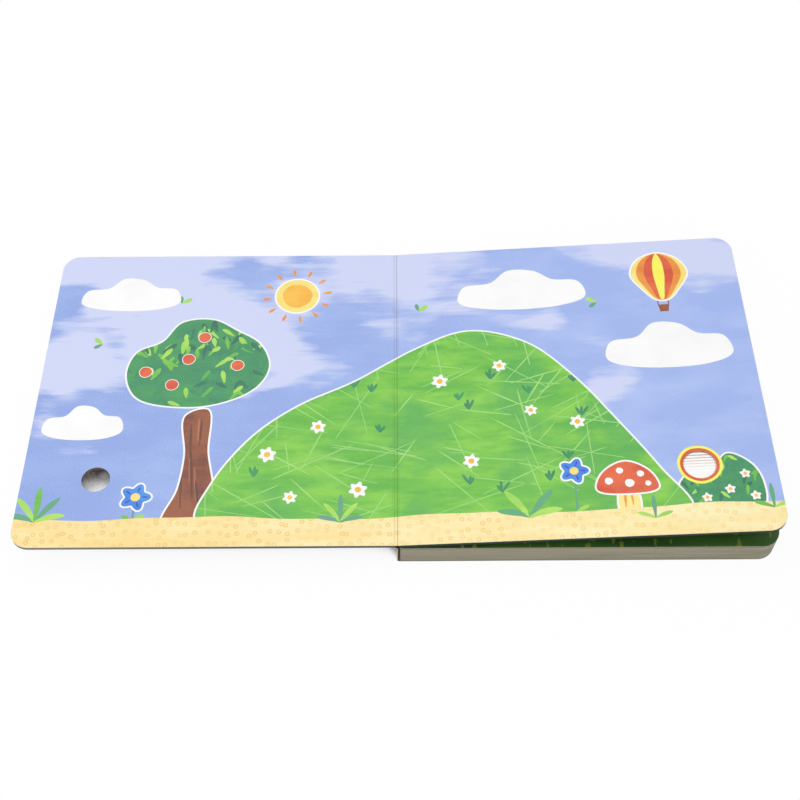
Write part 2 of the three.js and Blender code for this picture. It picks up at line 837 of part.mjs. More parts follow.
function onPage([across, up]) {
  return new THREE.Vector3((across * page_width) / 100, (up * page_height) / 100 - half_height, 0);
}

function byButton([x, y]) {
  return new THREE.Vector3(button_reach + x, button_y + y, 0);
}

// A closed outline through places on the page
function blob(places, perSpan = 4) {
  const closed = new THREE.CatmullRomCurve3(places, true, 'centripetal');
  const points = closed.getPoints(places.length * perSpan).slice(0, -1);
  return points.map(({ x, y }) => new THREE.Vector2(x, y));
}

function grown(outline, amount) {
  const sign = THREE.ShapeUtils.isClockWise(outline) ? -1 : 1;
  return outline.map((point, i) => {
    const before = outline[(i + outline.length - 1) % outline.length];
    const after = outline[(i + 1) % outline.length];
    const along = new THREE.Vector2().subVectors(after, before).normalize();
    return new THREE.Vector2(point.x + sign * along.y * amount, point.y - sign * along.x * amount);
  });
}

function prism(outline, amount = 0) {
  return toSolid(plate(new THREE.Shape(amount ? grown(outline, amount) : outline), -1, 1));
}

function circle(centre, radius, sides = 28) {
  return Array.from({ length: sides }, (_, i) => {
    const angle = (2 * Math.PI * i) / sides;
    return new THREE.Vector2(centre.x + radius * Math.cos(angle), centre.y + radius * Math.sin(angle));
  });
}

// A bank of round puffs on a flat foot
function cloud(across, up, width, height) {
  const half = width / 2;
  return blob([
    [across - half, up - height * 0.28],
    [across - half * 0.92, up + height * 0.1],
    [across - half * 0.48, up + height * 0.2],
    [across - half * 0.2, up + height * 0.5],
    [across + half * 0.22, up + height * 0.46],
    [across + half * 0.5, up + height * 0.22],
    [across + half * 0.9, up + height * 0.14],
    [across + half, up - height * 0.26],
    [across + half * 0.6, up - height * 0.48],
    [across - half * 0.6, up - height * 0.48],
  ].map(onPage));
}

// A bloom with round petals about its centre
function bloom(centre, radius, petals = 5) {
  const steps = petals * 6;
  return Array.from({ length: steps }, (_, i) => {
    const angle = (2 * Math.PI * i) / steps;
    const reach = radius * (0.82 + 0.18 * Math.cos(petals * angle));
    return new THREE.Vector2(centre.x + reach * Math.cos(angle), centre.y + reach * Math.sin(angle));
  });
}

// The sand's upper edge is a slow wave with a quicker one on it.
function sand() {
  const steps = 36;
  const edge = Array.from({ length: steps + 1 }, (_, i) => {
    const share = 1 - (2 * i) / steps;
    const wave = sand_wave * (Math.sin(9.4 * share) + 0.3 * Math.sin(25.4 * share));
    return new THREE.Vector2(page_width * share, sand_depth - half_height + wave);
  });
  const foot = -half_height - 1;
  return [new THREE.Vector2(-page_width, foot), new THREE.Vector2(page_width, foot), ...edge];
}

const hill = blob([
  ...[[-52, ground], [-49, 19], [-39, 34], [-27, 44], [-12, 52], [5, 63], [21, 69], [37, 64],
    [49, 52]].map(onPage),
  ...[[-34.6, 25.4], [-18.6, -0.6], [-6.6, ground_by_hole]].map(byButton),
  ...[[34, ground - 1], [-11, ground - 1]].map(onPage),
]);
const tree_crown = blob([
  [-72, 47], [-76, 55], [-74, 63], [-67, 67], [-62, 74], [-53, 75], [-46, 71], [-39, 66],
  [-36, 58], [-39, 51], [-47, 46], [-58, 44],
].map(onPage));
const tree_trunk = blob([
  [-61, ground], [-58, 17], [-57, 28], [-58, 41], [-52, 43], [-51, 29], [-49, 19], [-48, ground],
].map(onPage), 3);
const bush = blob([
  [-8.6, ground_by_hole], [-10.6, -10.6], [-3.6, -3.6], [5.4, -2.6], [13.4, 5.4], [23.4, -0.6],
  [27.4, -10.6], [25.4, ground_by_hole], [7.4, ground_by_hole - 2],
].map(byButton));
const mushroom_stem = blob([
  [-38.6, ground_by_hole], [-37.6, -10.6], [-31.6, -10.6], [-30.6, ground_by_hole],
].map(byButton), 3);
const mushroom_cap = blob([
  [-48.6, -11.6], [-45.6, -2.6], [-34.6, 3.4], [-23.6, -2.6], [-20.6, -11.6], [-34.6, -14.1],
].map(byButton), 4);
const bloom_left = bloom(new THREE.Vector2(-button_reach + 20, button_y - 10), 7.5);
const bloom_right = bloom(byButton([-58.6, -0.6]), 7);
const sun = circle(onPage([-29, 84]), page_width / 16);
const balloon = blob([
  [77.5, 95], [83.4, 92.4], [85.6, 87], [82.8, 81.6], [79.2, 77.4], [75.8, 77.4], [72.2, 81.6],
  [69.4, 87], [71.6, 92.4],
].map(onPage), 3);
const balloon_basket = [[75.9, 75.4], [76.3, 72.8], [78.7, 72.8], [79.1, 75.4]].map(onPage);
const clouds = [
  { name: 'cloud_upper_left', outline: cloud(-78, 85, 29, 12) },
  { name: 'cloud_middle_left', outline: cloud(-86, 39, 22, 11) },
  { name: 'cloud_upper_right', outline: cloud(37, 84, 37, 14.5) },
  { name: 'cloud_outer_right', outline: cloud(77, 61, 35, 15.5) },
];

// Everything printed on the spread, nearest first. Each field is cut by those before it and
// by their white margins.
const fields = [
  { name: 'sand', outline: sand(), colour: sand_yellow, margin: field_gap, both: true },
  ...clouds.map(({ name, outline }) => ({ name, outline, colour: cloud_white, margin: field_gap })),
  { name: 'mushroom_cap', outline: mushroom_cap, colour: ring_red, margin: outline_width },
  { name: 'mushroom_stem', outline: mushroom_stem, colour: sun_yellow, margin: outline_width },
  { name: 'bloom_left', outline: bloom_left, colour: bloom_blue, margin: outline_width },
  { name: 'bloom_right', outline: bloom_right, colour: bloom_blue, margin: outline_width },
  { name: 'hill', outline: hill, colour: leaf_green, margin: outline_width, both: true },
  { name: 'tree_trunk', outline: tree_trunk, colour: bark_brown, margin: outline_width },
  { name: 'tree_crown', outline: tree_crown, colour: deep_green, margin: outline_width },
  { name: 'bush', outline: bush, colour: deep_green, margin: outline_width },
  { name: 'sun', outline: sun, colour: sun_yellow, margin: outline_width },
  { name: 'balloon', outline: balloon, colour: balloon_orange, margin: outline_width },
  { name: 'balloon_basket', outline: balloon_basket, colour: bark_brown, margin: field_gap },
];

const inner_ring = button_hole_radius + inner_ring_width;
const outer_ring = inner_ring + outer_ring_width;

function printFields(side, bottom, home) {
  const suffix = side < 0 ? 'left' : 'right';
  const start = side < 0 ? cover_end : hinge_gap - cover_end;
  const sheet = plate(leafOutline(start, side * page_width, print_seat), -1, 1);
  const hole = side < 0 ? cover_hole_radius : outer_ring + field_gap;
  const window = disc(hole, side * button_reach, button_y, -2, 2, 40);
  const slab = toSolid(box(-2 * page_width, 2 * page_width, -page_height, page_height,
    0, print_thickness));
  const put = (name, flat, colour) => {
    const tile = toGeometry(flat.intersect(slab));
    add(name, tile.translate(0, 0, bottom), colour, 0.45, 0, home);
  };
  let rest = cut(sheet, window);
  for (const { name, outline, colour, margin, both } of fields) {
    const middle = outline.reduce((sum, point) => sum + point.x, 0) / outline.length;
    if (!both && Math.sign(middle) !== side) continue;
    put(both ? `${name}_${suffix}` : name, rest.intersect(prism(outline)), colour);
    rest = rest.subtract(prism(outline, margin));
  }
  put(`sky_${suffix}`, rest, sky_blue);
}

function printedRing(inner, outer, z0) {
  return cut(disc(outer, button_reach, button_y, z0, z0 + print_thickness, 40),
    disc(inner, button_reach, button_y, z0 - 1, z0 + 1, 40));
}

// The book

add('front_cover', frontCover(), board_white, 0.6);
add('page_leaves', pageLeaves(), board_white, 0.6);
add('sound_board', soundBoard(), grey_board, 0.9);
add('back_board', backBoard(), grey_board, 0.9);
add('cover_wrap', coverWrap(), wrap_grey, 0.5);
add('next_page_print', nextPagePrint(), deep_green, 0.5);

printFields(-1, spread_top - print_thickness, part);
printFields(1, -print_thickness, lifted);
const red_ring = printedRing(button_hole_radius, inner_ring, -print_thickness);
const yellow_ring = printedRing(inner_ring + field_gap, outer_ring, -print_thickness);
add('button_ring_inner', red_ring, ring_red, 0.45, 0, lifted);
add('button_ring_outer', yellow_ring, ring_yellow, 0.45, 0, lifted);
add('button_cap', buttonCap(), cap_white, 0.6, 0, lifted);
add('switch_film', switchFilm(), '#d9b56a', 0.35);

add('unit_case', unitCase(), case_black, 0.5);
add('unit_lid', unitLid(), case_black, 0.5);
add('battery_door', batteryDoor(), case_black, 0.5);
add('door_screw', screw(door_screw_x, cell_row_y, door_screw_level, 1), steel_grey, 0.3, 1);
for (const { name, x, y } of lid_screws) {
  add(name, screw(x, y, lid_bottom + screw_head_height, -1), steel_grey, 0.3, 1);
}
for (let i = 0; i < cell_count; i += 1) {
  add(`button_cell_${i + 1}`, buttonCell(i), steel_grey, 0.25, 1);
}
add('contact_door_side', contactPlate(0, 1, lower_contact_bottom), steel_grey, 0.3, 1);
add('contact_positive', sideContact(), steel_grey, 0.3, 1);
add('contact_lid_side', contactPlate(1, cell_count - 1, cell_top), steel_grey, 0.3, 1);
add('contact_negative', contactPlate(0, 0, cell_top), steel_grey, 0.3, 1);
add('speaker_basket', speakerBasket(), steel_grey, 0.4, 1);
add('speaker_magnet', speakerMagnet(), '#3a3a3c', 0.6, 0.5);
add('speaker_cone', speakerCone(), '#d8d2c0', 0.5);
add('circuit_board', circuitBoard(), copper_green, 0.5);
add('chip_cover', chipCover(), '#1b1b1c', 0.3);
add('resistor_1', resistor(chip_y + 2 * chip_radius), '#2a2620', 0.4);
add('resistor_2', resistor(chip_y - 2 * chip_radius), '#2a2620', 0.4);
add('speaker_wire_1', speakerWire(0), '#c0282a', 0.5);
add('speaker_wire_2', speakerWire(2), '#202022', 0.5);
add('cell_wire_positive', positiveWire(), '#c0282a', 0.5);
add('cell_wire_negative', negativeWire(), '#202022', 0.5);
add('switch_can', switchCan(), steel_grey, 0.4, 1);
add('switch_knob', switchKnob(), case_black, 0.5);

export default part;
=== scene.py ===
import json
import math
import random

import bpy
import numpy as np
from mathutils import Matrix, Vector
from mathutils.geometry import delaunay_2d_cdt


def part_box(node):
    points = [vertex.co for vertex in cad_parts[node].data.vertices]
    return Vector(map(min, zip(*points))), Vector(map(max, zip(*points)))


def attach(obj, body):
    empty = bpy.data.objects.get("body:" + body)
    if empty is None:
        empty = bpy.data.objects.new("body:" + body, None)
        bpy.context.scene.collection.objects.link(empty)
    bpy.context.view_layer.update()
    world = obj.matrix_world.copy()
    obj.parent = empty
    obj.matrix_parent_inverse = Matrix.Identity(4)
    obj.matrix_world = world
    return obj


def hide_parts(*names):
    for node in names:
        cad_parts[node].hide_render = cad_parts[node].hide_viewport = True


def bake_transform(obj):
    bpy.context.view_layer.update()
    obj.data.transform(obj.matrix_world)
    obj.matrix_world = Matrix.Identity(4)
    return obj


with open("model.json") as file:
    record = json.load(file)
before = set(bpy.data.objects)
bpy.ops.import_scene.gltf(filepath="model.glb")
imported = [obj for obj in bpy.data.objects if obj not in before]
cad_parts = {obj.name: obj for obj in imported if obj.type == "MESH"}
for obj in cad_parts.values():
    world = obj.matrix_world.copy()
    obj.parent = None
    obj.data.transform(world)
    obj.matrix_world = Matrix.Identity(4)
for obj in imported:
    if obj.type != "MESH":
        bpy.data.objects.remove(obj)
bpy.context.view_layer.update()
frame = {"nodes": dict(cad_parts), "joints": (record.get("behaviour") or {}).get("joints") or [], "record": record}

MM = 0.001

# Sizes that the frame gives, in millimetres


def box_mm(node):
    low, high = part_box(node)
    return Vector(low) / MM, Vector(high) / MM


def joint(name):
    return next(j for j in frame["joints"] if j["name"] == name)


cover_low, cover_high = box_mm("front_cover")
press_axis = joint("button_press")["axis"]
lift = math.atan2(press_axis[0], -press_axis[2])
page_width = -cover_low.x
half_height = cover_high.y
page_height = 2 * half_height
spread_top = box_mm("sky_left")[1].z
cap_low, cap_high = box_mm("button_cap")
button_y = (cap_low.y + cap_high.y) / 2
button_rise = button_y + half_height
next_page = box_mm("next_page_print")[1].z

# Sizes of the print and of its sheet, in millimetres
corner_radius = 9
button_reach = 142.6
cover_hole_radius = 6.8
button_hole_radius = 7.67
inner_ring_width = 1.45
outer_ring_width = 1.35
outline_width = 0.9
sand_depth = 15
sand_wave = 0.9
sand_cover = 2.5
sheet_thickness = 0.22
sheet_inset = 0.05
edge_round = 0.3
edge_drop = 0.1
gutter_reach = 1.6
crease_depth = 0.16
crease_reach = 0.65
crease_width = 0.22
fold_steps = [0.3, 0.48, 0.65, 0.82, 1.0, 1.3]
column_overshoot = 0.5
merge_distance = 1e-4
rib_pitch = 1.57
track_pitch = 1.6

# Spine and hollow, in millimetres
spine_sheet_thickness = 0.3
spine_sheet_inset = 0.25
hollow_middle = 1.25
crumple_depth = 6.65
crumple_inset = 0.35
crumple_foot = 1.0
crumple_head_gap = 0.5
crumple_thickness = 0.1
# Height of the painted contact shadow along the cover's cut edge
contact_shade_height = 0.8
outer_strip = 10

# Light and floor, in metres and watts: a lamp has a place, a size and a power
lamps = {"key": ((-0.4, 0.3, 1.7), 1.5, 21), "fill": ((0.4, -1.1, 1.5), 1.2, 8)}
world_strength = 0.28
floor_reach = 6
floor_gap = 0.0002
shade_reach = 0.25

# Camera, in millimetres and degrees
camera_place = (2.652, -368.69, 521.82)
camera_pitch = 54.49
camera_yaw = -0.09
camera_roll = -0.42
camera_lens = 56.52
camera_sensor = 36


def colour(red, green, blue):
    """An sRGB colour, 0 to 255, as Blender's linear one."""
    linear = []
    for part in (red, green, blue):
        share = part / 255
        linear.append(share / 12.92 if share <= 0.04045 else ((share + 0.055) / 1.055) ** 2.4)
    return (*linear, 1)


# Outlines of the artwork, in millimetres from the gutter and from the middle of the page

ground = 100 * (sand_depth - sand_cover) / page_height
ground_by_hole = sand_depth - sand_cover - button_rise


def on_page(points):
    """Places given in hundredths of the page, across from the gutter and up from its foot."""
    return [(x * page_width / 100, y * page_height / 100 - half_height) for x, y in points]


def by_button(points):
    """Places given from the middle of the button."""
    return [(button_reach + x, button_y + y) for x, y in points]


def blob(places, per_span=8):
    """A closed smooth outline through the places."""
    p = np.array(places, float)
    count = len(p)
    outline = []
    for i in range(count):
        p0, p1, p2, p3 = (p[(i + k) % count] for k in (-1, 0, 1, 2))
        d0, d1, d2 = (math.dist(a, b) ** 0.5 for a, b in ((p0, p1), (p1, p2), (p2, p3)))
        t1 = ((p1 - p0) / d0 - (p2 - p0) / (d0 + d1) + (p2 - p1) / d1) * d1
        t2 = ((p2 - p1) / d1 - (p3 - p1) / (d1 + d2) + (p3 - p2) / d2) * d1
        for k in range(per_span):
            t = k / per_span
            bend = (3 * (p2 - p1) - 2 * t1 - t2) * t * t
            outline.append(tuple(p1 + t1 * t + bend + (2 * (p1 - p2) + t1 + t2) * t**3))
    return outline


def circle(x, y, radius, sides=40, wobble=0.0):
    outline = []
    for i in range(sides):
        a = 2 * math.pi * i / sides
        r = radius * (1 + wobble * (math.sin(3 * a + 1) + 0.6 * math.sin(7 * a)))
        outline.append((x + r * math.cos(a), y + r * math.sin(a)))
    return outline


def cloud(across, up, width, height):
    half = width / 2
    steps = [(-1, -0.28), (-0.92, 0.1), (-0.48, 0.2), (-0.2, 0.5), (0.22, 0.46), (0.5, 0.22),
             (0.9, 0.14), (1, -0.26), (0.6, -0.48), (-0.6, -0.48)]
    return blob(on_page([(across + half * x, up + height * y) for x, y in steps]))


def bloom(x, y, radius, petals=5, turn=0.0, sides=10):
    outline = []
    for i in range(petals * sides):
        a = 2 * math.pi * i / (petals * sides)
        r = radius * (0.82 + 0.18 * math.cos(petals * a))
        outline.append((x + r * math.cos(a + turn), y + r * math.sin(a + turn)))
    return outline


def leaf(x, y, length, width, degrees, bend=0.0):
    """A leaf or brush stroke from its foot at (x, y), widest past its middle."""
    a = math.radians(degrees)
    steps = [(0, 0.1), (0.25, 0.32), (0.6, 0.5), (0.88, 0.34), (1, 0.0), (0.88, -0.34),
             (0.6, -0.5), (0.25, -0.32), (0, -0.1)]
    places = []
    for along, side in steps:
        u, w = length * along, width * side + bend * length * along * along
        places.append((x + u * math.cos(a) - w * math.sin(a), y + u * math.sin(a) + w * math.cos(a)))
    return blob(places, 4)


def sand():
    steps = 120
    edge = []
    for i in range(steps + 1):
        share = 1 - 2 * i / steps
        wave = sand_wave * (math.sin(9.4 * share) + 0.3 * math.sin(25.4 * share))
        edge.append((page_width * share, sand_depth - half_height + wave))
    foot = -half_height - 1
    return [(-page_width, foot), (page_width, foot), *edge]


def grown(outline, amount):
    """The outline moved outwards by amount."""
    p = np.array(outline)
    along = np.roll(p, -1, 0) - np.roll(p, 1, 0)
    along /= np.linalg.norm(along, axis=1)[:, None]
    area = (p[:, 0] * np.roll(p[:, 1], -1) - np.roll(p[:, 0], -1) * p[:, 1]).sum()
    out = np.stack([along[:, 1], -along[:, 0]], 1) * math.copysign(amount, area)
    return [tuple(q) for q in p + out]


def leaf_outline(start, reach, inset=0.0, steps=12):
    """A leaf's outline: square at the spine, with round outer corners."""
    side = math.copysign(1, reach)
    edge, top, radius = abs(reach) - inset, half_height - inset, corner_radius - inset
    outline = [(side * start, -top)]
    for first, middle in ((-math.pi / 2, radius - top), (0, top - radius)):
        for k in range(steps + 1):
            a = first + math.pi / 2 * k / steps
            across = edge - radius + radius * math.cos(a)
            outline.append((side * across, middle + radius * math.sin(a)))
    outline.append((side * start, top))
    return outline


# The picture, nearest first: (outline, paint, width of its white margin, outline that it stays in)

picture = []


def draw(outline, paint, margin=0.0, within=None):
    picture.append((outline, paint, margin, within))


def sprig(x, y, size, blades, paints, spread=62):
    for i in range(blades):
        share = 2 * i / (blades - 1) - 1
        turn = 90 + spread * share
        length = size * (1 - 0.28 * abs(share))
        bend = 0.12 * (i - (blades - 1) / 2)
        draw(leaf(x, y, length, size * 0.17, turn, bend), paints[i % len(paints)])


def at(x, rise):
    """A place given by its rise above the foot of the page."""
    return x, rise - half_height


def draw_rings():
    inner = button_hole_radius + inner_ring_width
    draw(circle(button_reach, button_y, inner, 64, 0.006), "ring_red")
    draw(circle(button_reach, button_y, inner + outer_ring_width, 64, 0.01), "ring_yellow")


def draw_sprigs():
    greens = ["leaf_light", "leaf_teal", "green"]
    sprig(*at(-168, 13.5), 19, 5, greens)
    sprig(*at(-26, 12.5), 15, 5, ["leaf_teal", "leaf_light"])
    sprig(*at(62, 12), 21, 5, greens)
    sprig(*at(119, 9), 12, 3, ["leaf_light", "leaf_teal"])
    sprig(*at(173, 12), 13, 3, greens)


def draw_mushroom():
    cap = by_button([(-48.6, -11.6), (-45.6, -2.6), (-34.6, 3.4), (-23.6, -2.6), (-20.6, -11.6),
                     (-34.6, -14.1)])
    stem = by_button([(-38.6, ground_by_hole), (-37.6, -10.6), (-31.6, -10.6),
                      (-30.6, ground_by_hole)])
    dots = ((-43, -7, 1.9), (-37.5, -1.5, 1.7), (-33.5, -8.5, 2.2), (-28, -3.6, 1.7), (-25, -9, 1.4))
    for x, y, radius in dots:
        draw(circle(button_reach + x, button_y + y, radius, 20, 0.03), "white")
    draw(blob(cap), "red", outline_width)
    draw(leaf(button_reach - 36.5, button_y - 21.5, 7.5, 1.2, 88), "orange")
    draw(leaf(button_reach - 33, button_y - 20.5, 6, 1, 92), "orange")
    draw(blob(stem), "pale_yellow", outline_width)


def draw_bloom(x, y, radius, foot):
    draw(circle(x, y, radius * 0.3, 20), "pale_yellow")
    for i in range(5):
        a = 2 * math.pi * i / 5
        draw(leaf(x + 0.36 * radius * math.cos(a), y + 0.36 * radius * math.sin(a),
                  0.42 * radius, 0.13 * radius, math.degrees(a)), "deep_blue")
    draw(bloom(x, y, radius), "blue", outline_width)
    draw(leaf(x - 0.4, foot + 1, 6.5, 2.2, 28), "leaf_light")
    draw(leaf(x - 0.4, foot + 1, 6, 2.2, 152), "green")
    draw([(x - 0.7, foot), (x + 0.5, foot), (x + 0.45, y), (x - 0.45, y)], "leaf_teal")


def draw_tree():
    crown = on_page([(-72, 47), (-76, 55), (-74, 63), (-67, 67), (-62, 74), (-53, 75), (-46, 71),
                     (-39, 66), (-36, 58), (-39, 51), (-47, 46), (-58, 44)])
    trunk = on_page([(-61, ground), (-58, 17), (-57, 28), (-58, 41), (-52, 43), (-51, 29),
                     (-49, 19), (-48, ground)])
    spots = random.Random(7)
    for x, rise in ((-126, 100), (-112, 92), (-98, 122), (-80, 104), (-105, 108)):
        draw(circle(*at(x, rise), 3.1, 24, 0.02), "red", 0.35)
    for i in range(90):
        a, r = spots.uniform(0, 2 * math.pi), spots.uniform(0.02, 1.0) ** 0.5
        x, rise = -100 + 35 * r * math.cos(a), 104 + 27 * r * math.sin(a)
        paint = ("leaf_light", "green", "leaf_dark", "leaf_deep")[i % 4]
        stroke = leaf(*at(x, rise), spots.uniform(5, 9), spots.uniform(1.8, 3), spots.uniform(20, 160))
        draw(stroke, paint, within=blob(crown))
    dark_marks = ((-101, 20, 22, 94), (-96, 26, 28, 96), (-99, 48, 20, 93), (-95, 55, 16, 90),
                  (-92, 18, 18, 100))
    for x, rise, length, turn in dark_marks:
        draw(leaf(*at(x, rise), length, 1.2, turn), "brown_dark", within=blob(trunk))
    light_marks = ((-94, 24, 20, 97), (-98, 34, 24, 94), (-96, 58, 14, 92))
    for x, rise, length, turn in light_marks:
        draw(leaf(*at(x, rise), length, 1.0, turn), "brown_light", within=blob(trunk))
    draw(blob(crown), "deep_green", outline_width)
    draw(blob(trunk), "brown", outline_width)


def draw_bush():
    shape = by_button([(-8.6, ground_by_hole), (-10.6, -10.6), (-3.6, -3.6), (5.4, -2.6), (13.4, 5.4),
                       (23.4, -0.6), (27.4, -10.6), (25.4, ground_by_hole), (7.4, ground_by_hole - 2)])
    spots = random.Random(11)
    for x, y in ((12, -14), (20, -6), (1, -18), (23, -18)):
        cx, cy = button_reach + x, button_y + y
        draw(circle(cx, cy, 0.9, 16), "sun")
        draw(bloom(cx, cy, 2.6, 5, 0.4, 6), "white")
    for i in range(40):
        x, y = spots.uniform(-10, 27), spots.uniform(-22, 3)
        paint = ("leaf_light", "green", "leaf_dark", "leaf_deep")[i % 4]
        stroke = leaf(button_reach + x, button_y + y, spots.uniform(4, 7), 1.8, spots.uniform(30, 150))
        draw(stroke, paint, within=blob(shape))
    draw(blob(shape), "deep_green", outline_width)


def draw_hill():
    places = on_page([(-52, ground), (-49, 19), (-39, 34), (-27, 44), (-12, 52), (5, 63), (21, 69),
                      (37, 64), (49, 52)])
    places += by_button([(-34.6, 25.4), (-18.6, -0.6), (-6.6, ground_by_hole)])
    places += on_page([(34, ground - 1), (-11, ground - 1)])
    flowers = ((-62, 50, 4.6), (-38, 66, 4), (22, 92, 4.4), (52, 100, 3.8), (-18, 30, 4.6),
               (36, 44, 4.2), (88, 64, 4), (-50, 26, 3.6), (66, 72, 3.4))
    for x, rise, size in flowers:
        cx, cy = at(x, rise)
        draw(circle(cx, cy, size * 0.34, 16), "sun")
        draw(bloom(cx, cy, size, 6, 0.3, 6), "white")
    shape = blob(places)
    marks = random.Random(5)
    for _ in range(16):
        x, rise = marks.uniform(-70, 100), marks.uniform(22, 92)
        for turn in (62, 90, 116):
            blade = leaf(*at(x, rise), marks.uniform(4.5, 7), 1.5, turn + marks.uniform(-6, 6))
            draw(blade, "leaf_dark", within=shape)
    for i in range(150):
        x, rise = marks.uniform(-95, 125), marks.uniform(10, 118)
        turn = (24, 58, 101, 142, 166)[i % 5] + marks.uniform(-9, 9)
        length = marks.uniform(14, 46)
        width, bend = marks.uniform(0.45, 0.95), marks.uniform(-0.0016, 0.0016)
        draw(leaf(*at(x, rise), length, width, turn, bend), "scratch", within=shape)
    draw(shape, "green", outline_width)


def draw_sky_things():
    sun_x, sun_y = on_page([(-29, 84)])[0]
    sun_radius = page_width / 16
    draw(circle(sun_x, sun_y, sun_radius * 0.7, 40, 0.02), "sun")
    draw(circle(sun_x, sun_y, sun_radius, 48), "pale_yellow", outline_width)
    for i in range(12):
        a = 2 * math.pi * i / 12 + 0.13
        reach = sun_radius + 2.6
        draw(leaf(sun_x + reach * math.cos(a), sun_y + reach * math.sin(a), 4.6, 1.7, math.degrees(a)),
             "orange")

    envelope = on_page([(77.5, 95), (83.4, 92.4), (85.6, 87), (82.8, 81.6), (79.2, 77.4),
                        (75.8, 77.4), (72.2, 81.6), (69.4, 87), (71.6, 92.4)])
    basket = on_page([(75.9, 75.4), (76.3, 72.8), (78.7, 72.8), (79.1, 75.4)])
    balloon_across = 0.775
    middle = balloon_across * page_width
    rope_width = 0.5
    stripes = ((0.2, "ring_yellow"), (0.52, "red"), (0.8, "orange"))
    for share, paint in stripes:
        draw(blob([(middle + (x - middle) * share, y) for x, y in envelope]), paint)
    draw(blob(envelope), "pale_yellow", outline_width)
    draw(basket, "brown")
    for side in (-1, 1):
        foot, head = basket[0 if side < 0 else 3], envelope[5 if side < 0 else 4]
        rope = [foot, (foot[0] - side * rope_width, foot[1]), (head[0] - side * rope_width, head[1]), head]
        draw(rope, "brown_dark")
    for x, rise, turn in ((-112, 145, 30), (-150, 118, 140), (12, 138, 35), (104, 138, 150)):
        draw(leaf(*at(x, rise), 6, 2.6, turn), "leaf_light")
        draw(leaf(*at(x, rise), 5, 2.2, turn + 70), "leaf_teal")


draw(circle(-button_reach, button_y, cover_hole_radius, 48), "hole")
draw(circle(button_reach, button_y, button_hole_radius, 48), "hole")
draw_rings()
draw_sprigs()
draw(sand(), "sand")
clouds = ((-78, 85, 29, 12), (-86, 39, 22, 11), (37, 84, 37, 14.5), (77, 61, 35, 15.5))
for across, up, width, height in clouds:
    draw(cloud(across, up, width, height), "cloud")
draw_mushroom()
draw_bloom(-button_reach + 20, button_y - 10, 7.5, sand_depth - half_height - 2)
draw_bloom(button_reach - 58.6, button_y - 0.6, 7, sand_depth - half_height - 2)
draw_hill()
draw_tree()
draw_bush()
draw_sky_things()


# Materials

PAGE = "page"
WHITE = (255, 255, 255)
print_gloss = 0.3


class Paint:
    """A node material: a Principled shader and short names for the nodes that feed it."""

    def __init__(self, name, roughness=0.5, metallic=0.0, specular=0.5):
        self.material = bpy.data.materials.new(name)
        self.material.use_nodes = True
        self.tree = self.material.node_tree
        self.shader = self.tree.nodes["Principled BSDF"]
        self.shader.inputs["Roughness"].default_value = roughness
        self.shader.inputs["Metallic"].default_value = metallic
        self.shader.inputs["Specular IOR Level"].default_value = specular

    def node(self, kind, **settings):
        made = self.tree.nodes.new(kind)
        for key, value in settings.items():
            setattr(made, key, value)
        return made

    def feed(self, socket, value):
        if isinstance(value, bpy.types.NodeSocket):
            self.tree.links.new(value, socket)
        elif isinstance(value, (tuple, list)) and len(value) == 3 and len(socket.default_value) == 4:
            socket.default_value = colour(*value)
        else:
            socket.default_value = value

    def page(self):
        return self.node("ShaderNodeUVMap", uv_map=PAGE).outputs["UV"]

    def place(self):
        return self.node("ShaderNodeTexCoord").outputs["Object"]

    def normal(self):
        return self.node("ShaderNodeTexCoord").outputs["Normal"]

    def mapped(self, vector, scale, degrees=0.0):
        made = self.node("ShaderNodeMapping")
        self.feed(made.inputs["Vector"], vector)
        made.inputs["Scale"].default_value = scale
        made.inputs["Rotation"].default_value = (0, 0, math.radians(degrees))
        return made.outputs["Vector"]

    def noise(self, vector, scale, detail=4.0, roughness=0.55, distortion=0.0):
        made = self.node("ShaderNodeTexNoise")
        self.feed(made.inputs["Vector"], vector)
        for key, value in (("Scale", scale), ("Detail", detail), ("Roughness", roughness),
                           ("Distortion", distortion)):
            made.inputs[key].default_value = value
        return made.outputs["Fac"]

    def voronoi(self, vector, scale, feature="F1", randomness=1.0, flat=False):
        made = self.node("ShaderNodeTexVoronoi", feature=feature)
        made.voronoi_dimensions = "2D" if flat else "3D"
        self.feed(made.inputs["Vector"], vector)
        made.inputs["Scale"].default_value = scale
        made.inputs["Randomness"].default_value = randomness
        return made.outputs["Distance"]

    def ramp(self, value, *stops):
        """Grey levels along value: stops are (position, level)."""
        made = self.node("ShaderNodeValToRGB")
        elements = made.color_ramp.elements
        for element, (position, level) in zip(elements, stops):
            element.position = position
            element.color = (level, level, level, 1)
        for position, level in stops[2:]:
            elements.new(position).color = (level, level, level, 1)
        self.feed(made.inputs["Fac"], value)
        return made.outputs["Color"]

    def math(self, operation, a, b=0.0, c=0.0):
        made = self.node("ShaderNodeMath", operation=operation)
        for socket, value in zip(made.inputs, (a, b, c)):
            self.feed(socket, value)
        return made.outputs[0]

    def mix(self, factor, a, b):
        made = self.node("ShaderNodeMix", data_type="RGBA")
        self.feed(made.inputs[0], factor)
        self.feed(made.inputs[6], a)
        self.feed(made.inputs[7], b)
        return made.outputs[2]

    def axis(self, vector, name):
        made = self.node("ShaderNodeSeparateXYZ")
        self.feed(made.inputs[0], vector)
        return made.outputs[name]

    def bump(self, height, strength, distance):
        made = self.node("ShaderNodeBump")
        made.inputs["Strength"].default_value = strength
        made.inputs["Distance"].default_value = distance * MM
        self.feed(made.inputs["Height"], height)
        self.feed(self.shader.inputs["Normal"], made.outputs["Normal"])

    def colour(self, value):
        self.feed(self.shader.inputs["Base Color"], value)

    def roughness(self, value):
        self.feed(self.shader.inputs["Roughness"], value)


